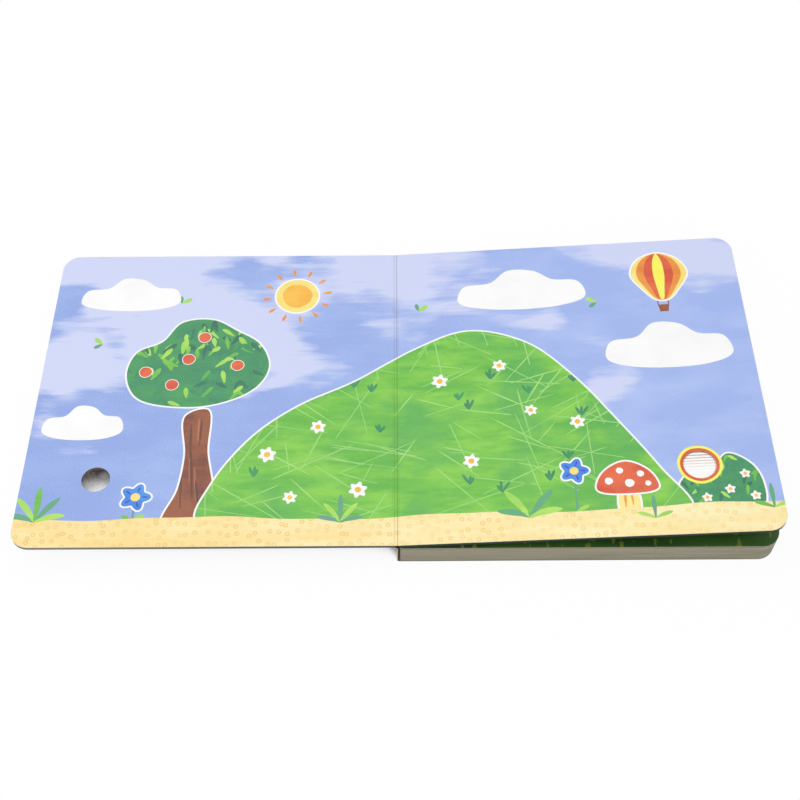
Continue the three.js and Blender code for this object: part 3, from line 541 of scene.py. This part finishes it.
def crease_shaded(paint, page, tone):
    """The print's colour, with painted shade along the two creases beside the gutter."""
    x = paint.math("MULTIPLY", paint.axis(page, "X"), page_width)
    for crease, share in ((-crease_reach, 0.22), (crease_reach, 0.5)):
        off = paint.math("ABSOLUTE", paint.math("SUBTRACT", x, crease))
        crease_shade = paint.ramp(off, (0.05, share), (0.3, 0))
        tone = paint.mix(crease_shade, tone, (112, 96, 66))
    return tone


def paper_grain(paint, vector):
    """The faint tooth of coated paper, in the page's own units."""
    tooth = paint.noise(vector, 420, 3)
    paint.bump(tooth, 0.12, 0.03)
    paint.roughness(paint.math("MULTIPLY_ADD", tooth, 0.12, 0.4))
    return paint.noise(vector, 210, 2, 0.6)


def paled(paint, tone, fine, share):
    """The tone with fine flecks of white."""
    return paint.mix(paint.math("MULTIPLY", fine, share), tone, WHITE)


def brushed(paint, vector, degrees, along, across, detail=5.0):
    """Brush marks that run at degrees, with across marks to the page's width."""
    return paint.noise(paint.mapped(vector, (along, across, 1), -degrees), 1, detail, 0.62)


def print_paint(name, base, other, third, degrees=20, along=5, across=26):
    """Gouache-like print: three near colours laid in brush marks."""
    paint = Paint(name, 0.45, specular=print_gloss)
    page = paint.page()
    marks = paint.ramp(brushed(paint, page, degrees, along, across), (0.36, 0), (0.62, 1))
    patches = paint.ramp(paint.noise(page, 9, 3), (0.4, 0), (0.62, 1))
    tone = paint.mix(marks, base, other)
    tone = paint.mix(paint.math("MULTIPLY", patches, 0.6), tone, third)
    fine = paper_grain(paint, page)
    paint.colour(crease_shaded(paint, page, paled(paint, tone, fine, 0.07)))
    return paint.material


def rightward(paint, page):
    """From 0 at the spread's left edge to 1 near its right edge."""
    share = paint.math("MULTIPLY_ADD", paint.axis(page, "X"), 0.5, 0.5)
    return paint.ramp(share, (0, 0), (0.8, 1))


def sky_paint():
    paint = Paint("print_sky", 0.45, specular=print_gloss)
    page = paint.page()
    wash = paint.noise(paint.mapped(page, (1, 1.3, 1)), 2.6, 2, 0.5, 0.4)
    high = paint.axis(page, "Y")
    left = paint.math("MULTIPLY", paint.axis(page, "X"), -0.06)
    height = paint.math("ADD", paint.math("MULTIPLY_ADD", high, 0.42, wash), left)
    rough_edge = brushed(paint, page, 4, 5, 34)
    rough_side = brushed(paint, page, 88, 9, 46, 3)
    edge = paint.math("MULTIPLY_ADD", rough_edge, 0.22, paint.math("MULTIPLY", rough_side, 0.1))
    patch = paint.ramp(paint.math("ADD", height, edge), (0.74, 0), (0.83, 1))
    deep = paint.ramp(paint.noise(paint.mapped(page, (1.4, 3.2, 1)), 3, 4), (0.42, 0), (0.7, 1))
    right = rightward(paint, page)
    tone = paint.mix(right, paint.mix(deep, (138, 164, 226), (152, 178, 234)),
                     paint.mix(deep, (158, 181, 238), (174, 195, 244)))
    tone = paint.mix(patch, tone, (208, 216, 248))
    fine = paint.ramp(paper_grain(paint, page), (0.35, 0), (0.7, 1))
    tone = paint.mix(paint.math("MULTIPLY", fine, 0.16), tone, (224, 224, 250))
    paint.colour(crease_shaded(paint, page, tone))
    return paint.material


def sand_paint():
    paint = Paint("print_sand", 0.45, specular=print_gloss)
    page = paint.page()
    light = paint.ramp(brushed(paint, page, 3, 4, 24), (0.4, 0), (0.62, 1))
    right = rightward(paint, page)
    tone = paint.mix(right, paint.mix(light, (251, 220, 146), (253, 232, 168)),
                     paint.mix(light, (254, 232, 166), (255, 243, 190)))
    cells = paint.voronoi(page, 38, randomness=0.75, flat=True)
    ring = paint.ramp(cells, (0.1, 0.25), (0.17, 1), (0.22, 1), (0.28, 0))
    some = paint.ramp(paint.noise(page, 14, 2), (0.38, 0.25), (0.6, 0.8))
    ring_tone = paint.mix(right, (236, 196, 112), (247, 212, 130))
    tone = paint.mix(paint.math("MULTIPLY", ring, some), tone, ring_tone)
    paper_grain(paint, page)
    paint.colour(crease_shaded(paint, page, tone))
    return paint.material


def green_paint():
    paint = Paint("print_green", 0.45, specular=print_gloss)
    page = paint.page()
    marks = paint.ramp(brushed(paint, page, 52, 4, 20), (0.38, 0), (0.6, 1))
    cross = paint.ramp(brushed(paint, page, -24, 5, 16), (0.42, 0), (0.62, 1))
    tone = paint.mix(marks, (114, 195, 64), (92, 179, 62))
    tone = paint.mix(paint.math("MULTIPLY", cross, 0.75), tone, (146, 214, 74))
    patches = paint.ramp(paint.noise(page, 4.5, 3, 0.5, 0.6), (0.46, 0), (0.62, 1))
    tone = paint.mix(paint.math("MULTIPLY", patches, 0.6), tone, (74, 166, 84))
    fine = paper_grain(paint, page)
    paint.colour(crease_shaded(paint, page, paled(paint, tone, fine, 0.05)))
    return paint.material


def plain_print(name, base):
    paint = Paint(name, 0.42, specular=print_gloss)
    page = paint.page()
    fine = paper_grain(paint, page)
    soft = paint.noise(page, 11, 4)
    shade = tuple(0.975 * part for part in base)
    tone = paint.mix(paint.ramp(soft, (0.42, 0), (0.75, 1)), base, shade)
    paint.colour(crease_shaded(paint, page, paled(paint, tone, fine, 0.04)))
    return paint.material


paints = {
    "sky": sky_paint(),
    "sand": sand_paint(),
    "green": green_paint(),
    "deep_green": print_paint("print_deep_green", (48, 142, 88), (66, 158, 84), (34, 122, 96), 70),
    "leaf_light": print_paint("print_leaf_light", (170, 224, 74), (142, 208, 82), (190, 232, 110), 80),
    "leaf_teal": print_paint("print_leaf_teal", (92, 160, 120), (104, 152, 146), (84, 176, 110), 80),
    "leaf_dark": print_paint("print_leaf_dark", (44, 140, 80), (38, 122, 92), (60, 160, 84), 60),
    "leaf_deep": print_paint("print_leaf_deep", (30, 112, 84), (26, 98, 82), (40, 128, 88), 60),
    "scratch": print_paint("print_scratch", (150, 214, 104), (132, 204, 98), (170, 224, 124), 30),
    "white": plain_print("print_white", (254, 254, 252)),
    "cloud": plain_print("print_cloud", (254, 254, 254)),
    "brown": print_paint("print_brown", (136, 66, 32), (108, 48, 26), (164, 92, 48), 88, 4, 44),
    "brown_dark": print_paint("print_brown_dark", (92, 42, 24), (76, 34, 22), (110, 54, 30), 88),
    "brown_light": print_paint("print_brown_light", (176, 104, 60), (150, 84, 46), (190, 120, 72), 60),
    "sun": print_paint("print_sun", (250, 190, 60), (246, 170, 50), (252, 208, 84), 30),
    "pale_yellow": print_paint("print_pale_yellow", (252, 232, 130), (250, 218, 104), (254, 242, 160), 40),
    "orange": print_paint("print_orange", (238, 148, 44), (230, 128, 36), (244, 170, 66), 40),
    "red": print_paint("print_red", (226, 88, 44), (208, 70, 38), (236, 116, 60), 35),
    "blue": print_paint("print_blue", (58, 140, 232), (42, 116, 220), (84, 168, 238), 15),
    "deep_blue": print_paint("print_deep_blue", (36, 78, 190), (28, 62, 172), (48, 96, 206), 15),
    "ring_red": print_paint("print_ring_red", (220, 86, 36), (210, 74, 32), (228, 100, 46), 35),
    "ring_yellow": print_paint("print_ring_yellow", (252, 250, 90), (250, 242, 78), (253, 252, 118), 35),
}


def cover_print(paint, place):
    """The plain blue print of the cover's outside."""
    wash = paint.noise(paint.mapped(place, (24, 60, 1)), 1, 4)
    speck = paint.noise(place, 900, 3)
    tone = paint.mix(paint.ramp(wash, (0.38, 0), (0.64, 1)), (132, 160, 226), (150, 176, 234))
    return paint.mix(paint.math("MULTIPLY", speck, 0.08), tone, (235, 240, 255))


def board(name, face, under, edge, dark_edge, bands=()):
    """Printed board: face on top, under below, and the cut edge's layers at the sides.

    Where under is None, the cover's print is below.
    bands are (height in millimetres, tone): cut edges above that height take the tone."""
    paint = Paint(name, 0.6)
    place = paint.place()
    up = paint.axis(paint.normal(), "Z")
    layers = paint.noise(paint.mapped(place, (30, 30, 5200)), 1, 3, 0.6)
    fuzz = paint.noise(paint.mapped(place, (900, 900, 2600)), 1, 4, 0.7)
    cut_tone = paint.mix(paint.ramp(layers, (0.35, 0), (0.65, 1)), edge, dark_edge)
    fuzzy = paint.math("MULTIPLY", paint.ramp(fuzz, (0.4, 0), (0.8, 1)), 0.5)
    cut_tone = paint.mix(fuzzy, cut_tone, edge)
    for height, tone in bands:
        above_it = paint.math("GREATER_THAN", paint.axis(place, "Z"), height * MM)
        cut_tone = paint.mix(above_it, cut_tone, tone)
    # Painted shade: cut edges darken towards the gutter, where the gap below them lies in shade.
    across = paint.math("MULTIPLY_ADD", paint.axis(place, "X"), 1 / (page_width * MM), 1.0)
    gutter_shade = paint.ramp(across, (0.1, 0), (0.75, 0.75), (1.0, 0.75), (1.001, 0))
    cut_tone = paint.mix(gutter_shade, cut_tone, (84, 78, 62))
    tooth = paint.noise(place, 2400, 3)
    if under is None:
        below = cover_print(paint, place)
    else:
        below = paint.mix(paint.noise(place, 60, 4), under, tuple(0.8 * c for c in under))
    above = paint.mix(tooth, face, tuple(0.97 * c for c in face))
    tone = paint.mix(paint.math("GREATER_THAN", up, 0.5), cut_tone, above)
    tone = paint.mix(paint.math("LESS_THAN", up, -0.5), tone, below)
    paint.colour(tone)
    side = paint.math("LESS_THAN", paint.math("ABSOLUTE", up), 0.5)
    paint.roughness(paint.math("MULTIPLY_ADD", side, 0.35, 0.5))
    paint.bump(paint.math("MULTIPLY", paint.math("ADD", layers, fuzz), side), 0.5, 0.12)
    return paint.material


def grey_board():
    paint = Paint("grey_board", 0.9, specular=0.2)
    place = paint.place()
    layers = paint.noise(paint.mapped(place, (25, 25, 2600)), 1, 3, 0.6)
    fleck = paint.noise(place, 1800, 4, 0.7)
    tone = paint.mix(paint.ramp(layers, (0.38, 0), (0.62, 1)), (184, 178, 157), (158, 152, 132))
    flecked = paint.math("MULTIPLY", paint.ramp(fleck, (0.5, 0), (0.75, 1)), 0.4)
    tone = paint.mix(flecked, tone, (138, 132, 113))
    paint.colour(tone)
    paint.bump(paint.math("ADD", layers, fleck), 0.5, 0.12)
    return paint.material


def cover_sheet(name, lined):
    """The outside of the cover: plain blue print on coated paper, with its pale cut edge, which is painted dark
    along its foot as contact shadow.

    Where it is lined, its inner side towards the pages is brown board."""
    paint = Paint(name, 0.38)
    place = paint.place()
    speck = paint.noise(place, 900, 3)
    tone = cover_print(paint, place)
    along = paint.math("ABSOLUTE", paint.axis(paint.normal(), "Y"))
    x = paint.axis(place, "X")
    z = paint.axis(place, "Z")
    outer = paint.math("GREATER_THAN", x, (page_width - outer_strip) * MM)
    level = paint.math("LESS_THAN", paint.math("ABSOLUTE", paint.axis(paint.normal(), "Z")), 0.3)
    outer_end = paint.math("MULTIPLY", outer, level)
    end = paint.math("MAXIMUM", paint.math("GREATER_THAN", along, 0.5), outer_end)
    turned = paint.math("GREATER_THAN", paint.axis(paint.normal(), "X"), 0.2)
    inner = paint.math("MULTIPLY", turned, paint.math("SUBTRACT", 1.0, outer))
    # Painted contact shadow: the cut edge is dark brown along its lowest part and pale above.
    cut_edge_and_shade = paint.mix(paint.math("LESS_THAN", z, contact_shade_height * MM), (196, 188, 166), (104, 95, 73))
    if lined:
        tone = paint.mix(inner, tone, (104, 78, 58))
    paint.colour(paint.mix(end, tone, cut_edge_and_shade))
    paint.bump(speck, 0.15, 0.03)
    paint.roughness(paint.math("MULTIPLY_ADD", speck, 0.12, 0.32))
    return paint.material


def next_page_paint():
    paint = Paint("next_page", 0.45)
    place = paint.mapped(paint.place(), (5.6, 5.6, 1))
    marks = paint.ramp(paint.noise(paint.mapped(place, (4, 16, 1), 60), 1, 4), (0.4, 0), (0.62, 1))
    # The next page's green print, laid darker than it is in light: painted shade in the gap under the lifted leaf.
    tone = paint.mix(marks, (46, 86, 32), (64, 108, 40))
    fleck = paint.ramp(paint.noise(paint.mapped(place, (16, 7, 1), 12), 3, 2), (0.6, 0), (0.66, 0.8))
    tone = paint.mix(fleck, tone, (140, 150, 56))
    paper_grain(paint, place)
    paint.colour(tone)
    return paint.material


def button_plastic():
    """White soft plastic, with painted brownish shade in the grooves on the side away from the reader, under the
    rim of the hole.
    """
    paint = Paint("button_plastic", 0.5)
    place = paint.place()
    y = paint.math("SUBTRACT", paint.axis(place, "Y"), button_y * MM)
    wave = paint.math("COSINE", paint.math("MULTIPLY", y, 2 * math.pi / (rib_pitch * MM)))
    groove_shade = paint.ramp(paint.math("MULTIPLY_ADD", wave, -0.5, 0.5), (0.62, 0), (0.95, 1))
    away = paint.math("MULTIPLY_ADD", y, 1 / (2 * button_hole_radius * MM), 0.5)
    far_shade = paint.ramp(away, (0.3, 0.06), (0.9, 1))
    tone = paint.mix(paint.math("MULTIPLY", groove_shade, far_shade), (255, 254, 252), (164, 128, 94))
    speck = paint.noise(place, 2600, 3)
    paint.colour(paint.mix(paint.math("MULTIPLY", speck, 0.05), tone, (214, 208, 196)))
    paint.bump(speck, 0.15, 0.02)
    paint.roughness(paint.math("MULTIPLY_ADD", speck, 0.15, 0.42))
    return paint.material


def moulded(name, base, roughness=0.5):
    """Spark-textured moulded plastic."""
    paint = Paint(name, roughness)
    place = paint.place()
    grain = paint.noise(place, 2200, 3, 0.6)
    wide = paint.noise(place, 90, 3)
    lighter = tuple(min(255, part * 1.25 + 6) for part in base)
    paint.colour(paint.mix(paint.math("MULTIPLY", paint.math("ADD", grain, wide), 0.35), base, lighter))
    paint.bump(grain, 0.35, 0.05)
    paint.roughness(paint.math("MULTIPLY_ADD", grain, 0.2, roughness - 0.1))
    return paint.material


def metal(name, base, roughness=0.3):
    paint = Paint(name, roughness, 1.0)
    place = paint.place()
    grain = paint.noise(paint.mapped(place, (700, 9800, 700)), 1, 3)
    cloudy = paint.noise(place, 260, 4)
    darker = tuple(0.82 * part for part in base)
    paint.colour(paint.mix(paint.ramp(cloudy, (0.35, 0), (0.75, 0.8)), base, darker))
    paint.bump(grain, 0.2, 0.02)
    paint.roughness(paint.math("MULTIPLY_ADD", grain, 0.25, roughness - 0.1))
    return paint.material


def film_plastic():
    """Amber film with printed silver tracks along the tail."""
    paint = Paint("switch_film", 0.25)
    place = paint.place()
    y = paint.math("SUBTRACT", paint.axis(place, "Y"), button_y * MM)
    wave = paint.math("COSINE", paint.math("MULTIPLY", y, 2 * math.pi / (track_pitch * MM)))
    track = paint.ramp(paint.math("MULTIPLY_ADD", wave, 0.5, 0.5), (0.6, 0), (0.7, 1))
    cloudy = paint.noise(place, 300, 3)
    tone = paint.mix(cloudy, (214, 170, 92), (198, 152, 76))
    paint.colour(paint.mix(paint.math("MULTIPLY", track, 0.8), tone, (186, 184, 176)))
    paint.roughness(paint.math("MULTIPLY_ADD", cloudy, 0.2, 0.16))
    return paint.material


def laminate():
    """Green circuit laminate with paler tracks."""
    paint = Paint("circuit_board", 0.4)
    place = paint.place()
    cells = paint.voronoi(place, 520, "DISTANCE_TO_EDGE", 0.6)
    track = paint.ramp(cells, (0.05, 1), (0.09, 0))
    weave = paint.noise(place, 3000, 2)
    tone = paint.mix(weave, (34, 96, 52), (44, 112, 62))
    paint.colour(paint.mix(track, tone, (86, 150, 84)))
    paint.bump(track, 0.4, 0.04)
    return paint.material


def cone_paper():
    paint = Paint("cone_paper", 0.8)
    place = paint.place()
    fibre = paint.noise(paint.mapped(place, (500, 1400, 900)), 1, 4, 0.7)
    paint.colour(paint.mix(fibre, (216, 208, 188), (186, 176, 152)))
    paint.bump(fibre, 0.4, 0.05)
    return paint.material


def kraft_paper():
    paint = Paint("kraft_paper", 0.85)
    place = paint.place()
    fibre = paint.noise(paint.mapped(place, (900, 300, 1600)), 1, 4, 0.7)
    paint.colour(paint.mix(paint.ramp(fibre, (0.35, 0), (0.7, 1)), (150, 108, 78), (214, 186, 150)))
    paint.bump(fibre, 0.5, 0.06)
    return paint.material


slot_paints = {
    "leaf_board": board("leaf_board", face=(250, 249, 245), under=None,
                        edge=(156, 148, 128), dark_edge=(118, 108, 90)),
    "grey_board": grey_board(),
    "cover_sheet": cover_sheet("cover_sheet", True),
    "button_plastic": button_plastic(),
    "switch_film": film_plastic(),
    "case_plastic": moulded("case_plastic", (40, 41, 43)),
    "steel": metal("steel", (196, 199, 201)),
    "magnet": metal("magnet", (84, 84, 88), 0.55),
    "cone_paper": cone_paper(),
    "circuit_board": laminate(),
    "chip_resin": moulded("chip_resin", (24, 24, 26), 0.25),
    "wire_red": moulded("wire_red", (190, 40, 40), 0.4),
    "wire_black": moulded("wire_black", (30, 30, 32), 0.4),
}

for entry in frame["record"]["subparts"]:
    if entry["material_slot"] in slot_paints:
        target = frame["nodes"][entry["node"]].data.materials
        target.clear()
        target.append(slot_paints[entry["material_slot"]])

# Bands on the block's cut edges: grey, light brown and olive near the top of the lower leaves; above them the
# lifted leaf's cut edge is a near-black green, which is painted shade.
edge_bands_and_shade = ((next_page - 1.15, (136, 136, 124)), (next_page - 0.6, (172, 156, 124)),
              (next_page - 0.25, (140, 138, 92)), (next_page + 0.3, (36, 50, 34)))
# The lifted leaf's underside is its green print, laid darker as painted shade in the gap.
pages_board = board("pages_board", face=(250, 249, 245), under=(40, 86, 40),
                    edge=(186, 174, 150), dark_edge=(154, 142, 118), bands=edge_bands_and_shade)
for node, material in (("page_leaves", pages_board), ("next_page_print", next_page_paint())):
    frame["nodes"][node].data.materials.clear()
    frame["nodes"][node].data.materials.append(material)


# Printed sheets

def inside(points, outline):
    """Which of the points lie inside the outline."""
    x, y = points[:, 0], points[:, 1]
    found = np.zeros(len(points), bool)
    ends = np.array(outline)
    for (x0, y0), (x1, y1) in zip(ends, np.roll(ends, -1, 0)):
        if y0 != y1:
            crosses = (y0 > y) != (y1 > y)
            found ^= crosses & (x < (x1 - x0) * (y - y0) / (y1 - y0) + x0)
    return found


def touches(outline, low, high):
    p = np.array(outline)
    return (p.max(0) > low).all() and (p.min(0) < high).all()


def partition(domain, inner, columns=()):
    """Triangles of the domain, each wholly in one colour: points, faces and paints."""
    shapes = [domain, inner]
    low, high = np.array(domain).min(0), np.array(domain).max(0)
    layers = []
    for outline, paint, margin, within in picture:
        near = grown(outline, margin) if margin else outline
        if touches(near, low, high):
            layers.append((outline, paint, near if margin else None, within))
            shapes.append(outline)
            if margin:
                shapes.append(near)
    points, edges = [], []
    for outline in shapes:
        first = len(points)
        points += [Vector(p) for p in outline]
        edges += [(first + i, first + (i + 1) % len(outline)) for i in range(len(outline))]
    for x in columns:
        edges.append((len(points), len(points) + 1))
        points += [Vector((x, side * (half_height + column_overshoot))) for side in (-1, 1)]
    points, _, faces, *_ = delaunay_2d_cdt(points, edges, [], 0, merge_distance)
    points = np.array([tuple(p) for p in points])
    faces = np.array([tuple(f) for f in faces])
    centres = points[faces].mean(1)
    kept = inside(centres, domain)
    faces, centres = faces[kept], centres[kept]
    names = np.full(len(faces), "sky", dtype=object)
    free = np.ones(len(faces), bool)
    for outline, paint, margin, within in layers:
        here = free & inside(centres, outline)
        if within is not None:
            here &= inside(centres, within)
        names[here] = paint
        free &= ~here
        if margin is not None:
            rim = free & inside(centres, margin)
            names[rim] = "white"
            free &= ~rim
    solid = names != "hole"
    return points, faces[solid], names[solid]


def add_piece(name, places, faces, material):
    mesh = bpy.data.meshes.new(name)
    mesh.from_pydata(places, [], faces)
    if material:
        mesh.materials.append(material)
    mesh.update()
    made = bpy.data.objects.new(name, mesh)
    bpy.context.scene.collection.objects.link(made)
    return made


def sheet(name, domain, inner, level, body, replaced, columns=()):
    """A closed printed sheet. level turns (x, y, depth below the print) into a place."""
    points, faces, names = partition(domain, inner, columns)
    used = np.unique(faces)
    renumber = np.full(len(points), -1)
    renumber[used] = np.arange(len(used))
    points, faces = points[used], renumber[faces]
    directed = {}
    for f in faces:
        for i in range(3):
            directed[(f[i], f[(i + 1) % 3])] = True
    rim_edges = [e for e in directed if (e[1], e[0]) not in directed]
    rim = {v for e in rim_edges for v in e}
    count = len(points)
    drop = [edge_drop if i in rim else 0.0 for i in range(count)]
    top = [level(x, y, d) for (x, y), d in zip(points, drop)]
    bottom = [level(x, y, sheet_thickness) for x, y in points]
    corners = [tuple(f) for f in faces]
    corners += [(f[2] + count, f[1] + count, f[0] + count) for f in faces]
    corners += [(b, a, a + count, b + count) for a, b in rim_edges]
    places = [Vector(p) * MM for p in top + bottom]
    made = add_piece(name, places, [tuple(map(int, c)) for c in corners], None)
    mesh = made.data
    order = sorted(set(names) | {"white"})
    for paint in order:
        mesh.materials.append(paints[paint])
    index = [order.index(n) for n in names]
    index += [order.index("white")] * (len(corners) - len(index))
    mesh.polygons.foreach_set("material_index", index)
    flat = np.concatenate([points, points]) / page_width
    loops = np.zeros(len(mesh.loops), int)
    mesh.loops.foreach_get("vertex_index", loops)
    layer = mesh.uv_layers.new(name=PAGE)
    layer.uv.foreach_set("vector", flat[loops].astype(np.float32).ravel())
    mesh.update()
    if replaced:
        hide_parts(*replaced)
    if body:
        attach(made, body)
    return made


def flat_level(x, y, depth):
    return Vector((x, y, spread_top - depth))


def lifted_level(x, y, depth):
    return Vector((x * math.cos(lift) + depth * math.sin(lift), y,
                   spread_top + x * math.sin(lift) - depth * math.cos(lift)))


def gutter_level(x, y, depth):
    creases = (-crease_reach, crease_reach)
    dip = sum(math.exp(-((x - crease) / crease_width) ** 2) for crease in creases)
    low = depth + crease_depth * min(dip, 1)
    return lifted_level(x, y, low) if x > 0 else flat_level(x, y, low)


print_nodes = [e["node"] for e in frame["record"]["subparts"]
               if e["material_slot"].startswith("print_") and e["node"] != "next_page_print"]
left_nodes = [n for n in print_nodes if box_mm(n)[1].x < 1]
right_nodes = [n for n in print_nodes if n not in left_nodes]

for name, reach, level, body, nodes in (
        ("left_sheet", -page_width, flat_level, "front_cover", left_nodes),
        ("right_sheet", page_width, lifted_level, "root", right_nodes)):
    sheet(name, leaf_outline(gutter_reach, reach, sheet_inset),
          leaf_outline(gutter_reach, reach, edge_round), level, body, nodes)
strip = [(-gutter_reach, -half_height), (gutter_reach, -half_height),
         (gutter_reach, half_height), (-gutter_reach, half_height)]
gutter_columns = [-step for step in reversed(fold_steps)] + [0] + fold_steps
gutter_strip = sheet("gutter_strip", strip, [(x, y * 0.999) for x, y in strip], gutter_level,
                     None, [], gutter_columns)
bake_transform(gutter_strip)


def spine_sheet():
    """The outer paper of the cover, from the spine to the underside of the front cover."""
    middle = [(-0.04, 7.4), (-0.04, 8.6), (-0.04, 9.8), (-0.1, 10.6), (-0.32, 11.2),
              (-0.66, 11.62), (-1.12, 11.98), (-1.66, 12.34), (-2.24, 12.68), (-2.9, 12.9),
              (-3.8, 13.02), (-4.9, 13.08), (-6, 13.13)]
    middle = [Vector(place) for place in middle]
    last = len(middle) - 1
    sides = []
    for i in range(last + 1):
        step = middle[min(i + 1, last)] - middle[max(i - 1, 0)]
        thinning = min(1, 0.25 + 0.3 * (last - i))
        sides.append(Vector((-step.y, step.x)).normalized() * (spine_sheet_thickness / 2 * thinning))
    outline = [m + s for m, s in zip(middle, sides)]
    outline += [m - s for m, s in reversed(list(zip(middle, sides)))]
    count = len(outline)
    reach = half_height - spine_sheet_inset
    places = [Vector((p.x, y, p.y)) * MM for y in (-reach, reach) for p in outline]
    faces = [(i, (i + 1) % count, count + (i + 1) % count, count + i) for i in range(count)]
    for i in range(last):
        j = count - 1 - i
        faces.append((i + 1, i, j, j - 1))
        faces.append((count + i, count + i + 1, count + j - 1, count + j))
    made = add_piece("spine_sheet", places, faces, cover_sheet("spine_sheet", False))
    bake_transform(made)


def crumpled_places(start, end, rows, columns):
    """The two faces of a crumpled strip in the hollow, row by row from its foot."""
    low, high = crumple_foot, next_page - crumple_head_gap
    creases = random.Random(3)
    sway = [creases.uniform(-0.12, 0.12) for _ in range(rows + 1)]
    places = []
    for side in (-1, 1):
        for i in range(rows + 1):
            z = low + (high - low) * i / rows
            for k in range(columns + 1):
                y = start + (end - start) * k / columns
                fold = 0.2 * math.sin(1.9 * z + 0.35 * k) + sway[i] + 0.05 * math.sin(2.3 * k + i)
                x = hollow_middle + fold + side * crumple_thickness / 2
                places.append(Vector((x, y, z)) * MM)
    return places


def spine_paper(name, start, end):
    """Crumpled brown paper that shows in the hollow between the spine and the folded pages."""
    rows, columns = 34, 12
    places = crumpled_places(start, end, rows, columns)
    wide = columns + 1
    second = (rows + 1) * wide
    faces = []
    for i in range(rows):
        for k in range(columns):
            a = i * wide + k
            faces.append((a, a + wide, a + wide + 1, a + 1))
            b = a + second
            faces.append((b, b + 1, b + wide + 1, b + wide))
    border = list(range(wide))
    border += [i * wide + columns for i in range(1, rows + 1)]
    border += [rows * wide + k for k in range(columns - 1, -1, -1)]
    border += [i * wide for i in range(rows - 1, 0, -1)]
    for a, b in zip(border, border[1:] + border[:1]):
        faces.append((a, b, b + second, a + second))
    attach(add_piece(name, places, faces, kraft), "root")


kraft = kraft_paper()
spine_sheet()
outer_end = half_height - crumple_inset
inner_end = outer_end - crumple_depth
spine_paper("spine_paper_near", -outer_end, -inner_end)
spine_paper("spine_paper_far", inner_end, outer_end)


# Light, floor and camera

def lamp(name, place, size, watts):
    """A soft lamp that faces the origin."""
    data = bpy.data.lights.new(name, "AREA")
    data.size = size
    data.energy = watts
    made = bpy.data.objects.new(name, data)
    made.location = place
    made.rotation_euler = (-Vector(place)).to_track_quat("-Z", "Y").to_euler()
    bpy.context.scene.collection.objects.link(made)


def white_to_view(tree, inner, factor):
    """A shader that the camera, gloss and glass see as white by factor, and inner elsewhere."""
    path = tree.nodes.new("ShaderNodeLightPath")
    seen = path.outputs["Is Camera Ray"]
    for other in ("Is Glossy Ray", "Is Transmission Ray"):
        most = tree.nodes.new("ShaderNodeMath")
        most.operation = "MAXIMUM"
        tree.links.new(seen, most.inputs[0])
        tree.links.new(path.outputs[other], most.inputs[1])
        seen = most.outputs[0]
    share = tree.nodes.new("ShaderNodeMath")
    share.operation = "MULTIPLY"
    if isinstance(factor, bpy.types.NodeSocket):
        tree.links.new(factor, share.inputs[1])
    else:
        share.inputs[1].default_value = factor
    tree.links.new(seen, share.inputs[0])
    white = tree.nodes.new("ShaderNodeEmission" if inner.type != "BACKGROUND" else "ShaderNodeBackground")
    mixed = tree.nodes.new("ShaderNodeMixShader")
    tree.links.new(share.outputs[0], mixed.inputs[0])
    tree.links.new(inner.outputs[0], mixed.inputs[1])
    tree.links.new(white.outputs[0], mixed.inputs[2])
    white.inputs["Color"].default_value = (1, 1, 1, 1)
    white.inputs["Strength"].default_value = 1
    return mixed.outputs[0]


def make_floor():
    """A white floor, with a painted dark brown shadow where ambient occlusion finds the book close above it; there
    it is also less white to the camera, so the lamps' shade shows too.
    """
    mesh = bpy.data.meshes.new("floor")
    corners = [(x * floor_reach, y * floor_reach, 0) for x, y in ((-1, -1), (1, -1), (1, 1), (-1, 1))]
    mesh.from_pydata(corners, [], [(0, 1, 2, 3)])
    floor = bpy.data.objects.new("floor", mesh)
    floor.location.z = -floor_gap
    bpy.context.scene.collection.objects.link(floor)
    paint = Paint("floor", 0.9, specular=0.1)
    around = paint.node("ShaderNodeAmbientOcclusion", samples=32)
    around.inputs["Distance"].default_value = shade_reach
    unhidden = around.outputs["AO"]
    # Painted shadow: dark brown where the book is close above the floor, white elsewhere.
    outside_painted_shadow = paint.ramp(unhidden, (0.15, 0), (0.28, 1))
    paint.colour(paint.mix(outside_painted_shadow, (84, 46, 26), (250, 250, 250)))
    whiteness = paint.ramp(unhidden, (0.125, 0), (0.155, 0.25), (0.19, 0.72), (0.3, 0.91), (0.45, 0.95),
                           (0.96, 0.955), (0.995, 1))
    surface = paint.tree.nodes["Material Output"].inputs["Surface"]
    paint.feed(surface, white_to_view(paint.tree, paint.shader, whiteness))
    mesh.materials.append(paint.material)


def make_world():
    world = bpy.data.worlds.new("studio")
    bpy.context.scene.world = world
    world.use_nodes = True
    tree = world.node_tree
    background = tree.nodes["Background"]
    background.inputs["Color"].default_value = (1, 1, 1, 1)
    background.inputs["Strength"].default_value = world_strength
    tree.links.new(white_to_view(tree, background, 1), tree.nodes["World Output"].inputs["Surface"])


def make_camera():
    yaw, pitch, roll = (math.radians(v) for v in (camera_yaw, camera_pitch, camera_roll))
    forward = Vector((math.sin(yaw) * math.cos(pitch), math.cos(yaw) * math.cos(pitch), -math.sin(pitch)))
    level = Vector((math.cos(yaw), -math.sin(yaw), 0))
    upright = level.cross(forward)
    right = math.cos(roll) * level + math.sin(roll) * upright
    up = math.cos(roll) * upright - math.sin(roll) * level
    data = bpy.data.cameras.new("camera")
    data.lens = camera_lens
    data.sensor_width = camera_sensor
    camera = bpy.data.objects.new("camera", data)
    turn = Matrix((right, up, -forward)).transposed().to_4x4()
    camera.matrix_world = Matrix.Translation(Vector(camera_place) * MM) @ turn
    bpy.context.scene.collection.objects.link(camera)
    bpy.context.scene.camera = camera


make_floor()
make_world()
for name, (place, size, watts) in lamps.items():
    lamp(name, place, size, watts)
make_camera()
bpy.context.scene.view_settings.view_transform = "Standard"
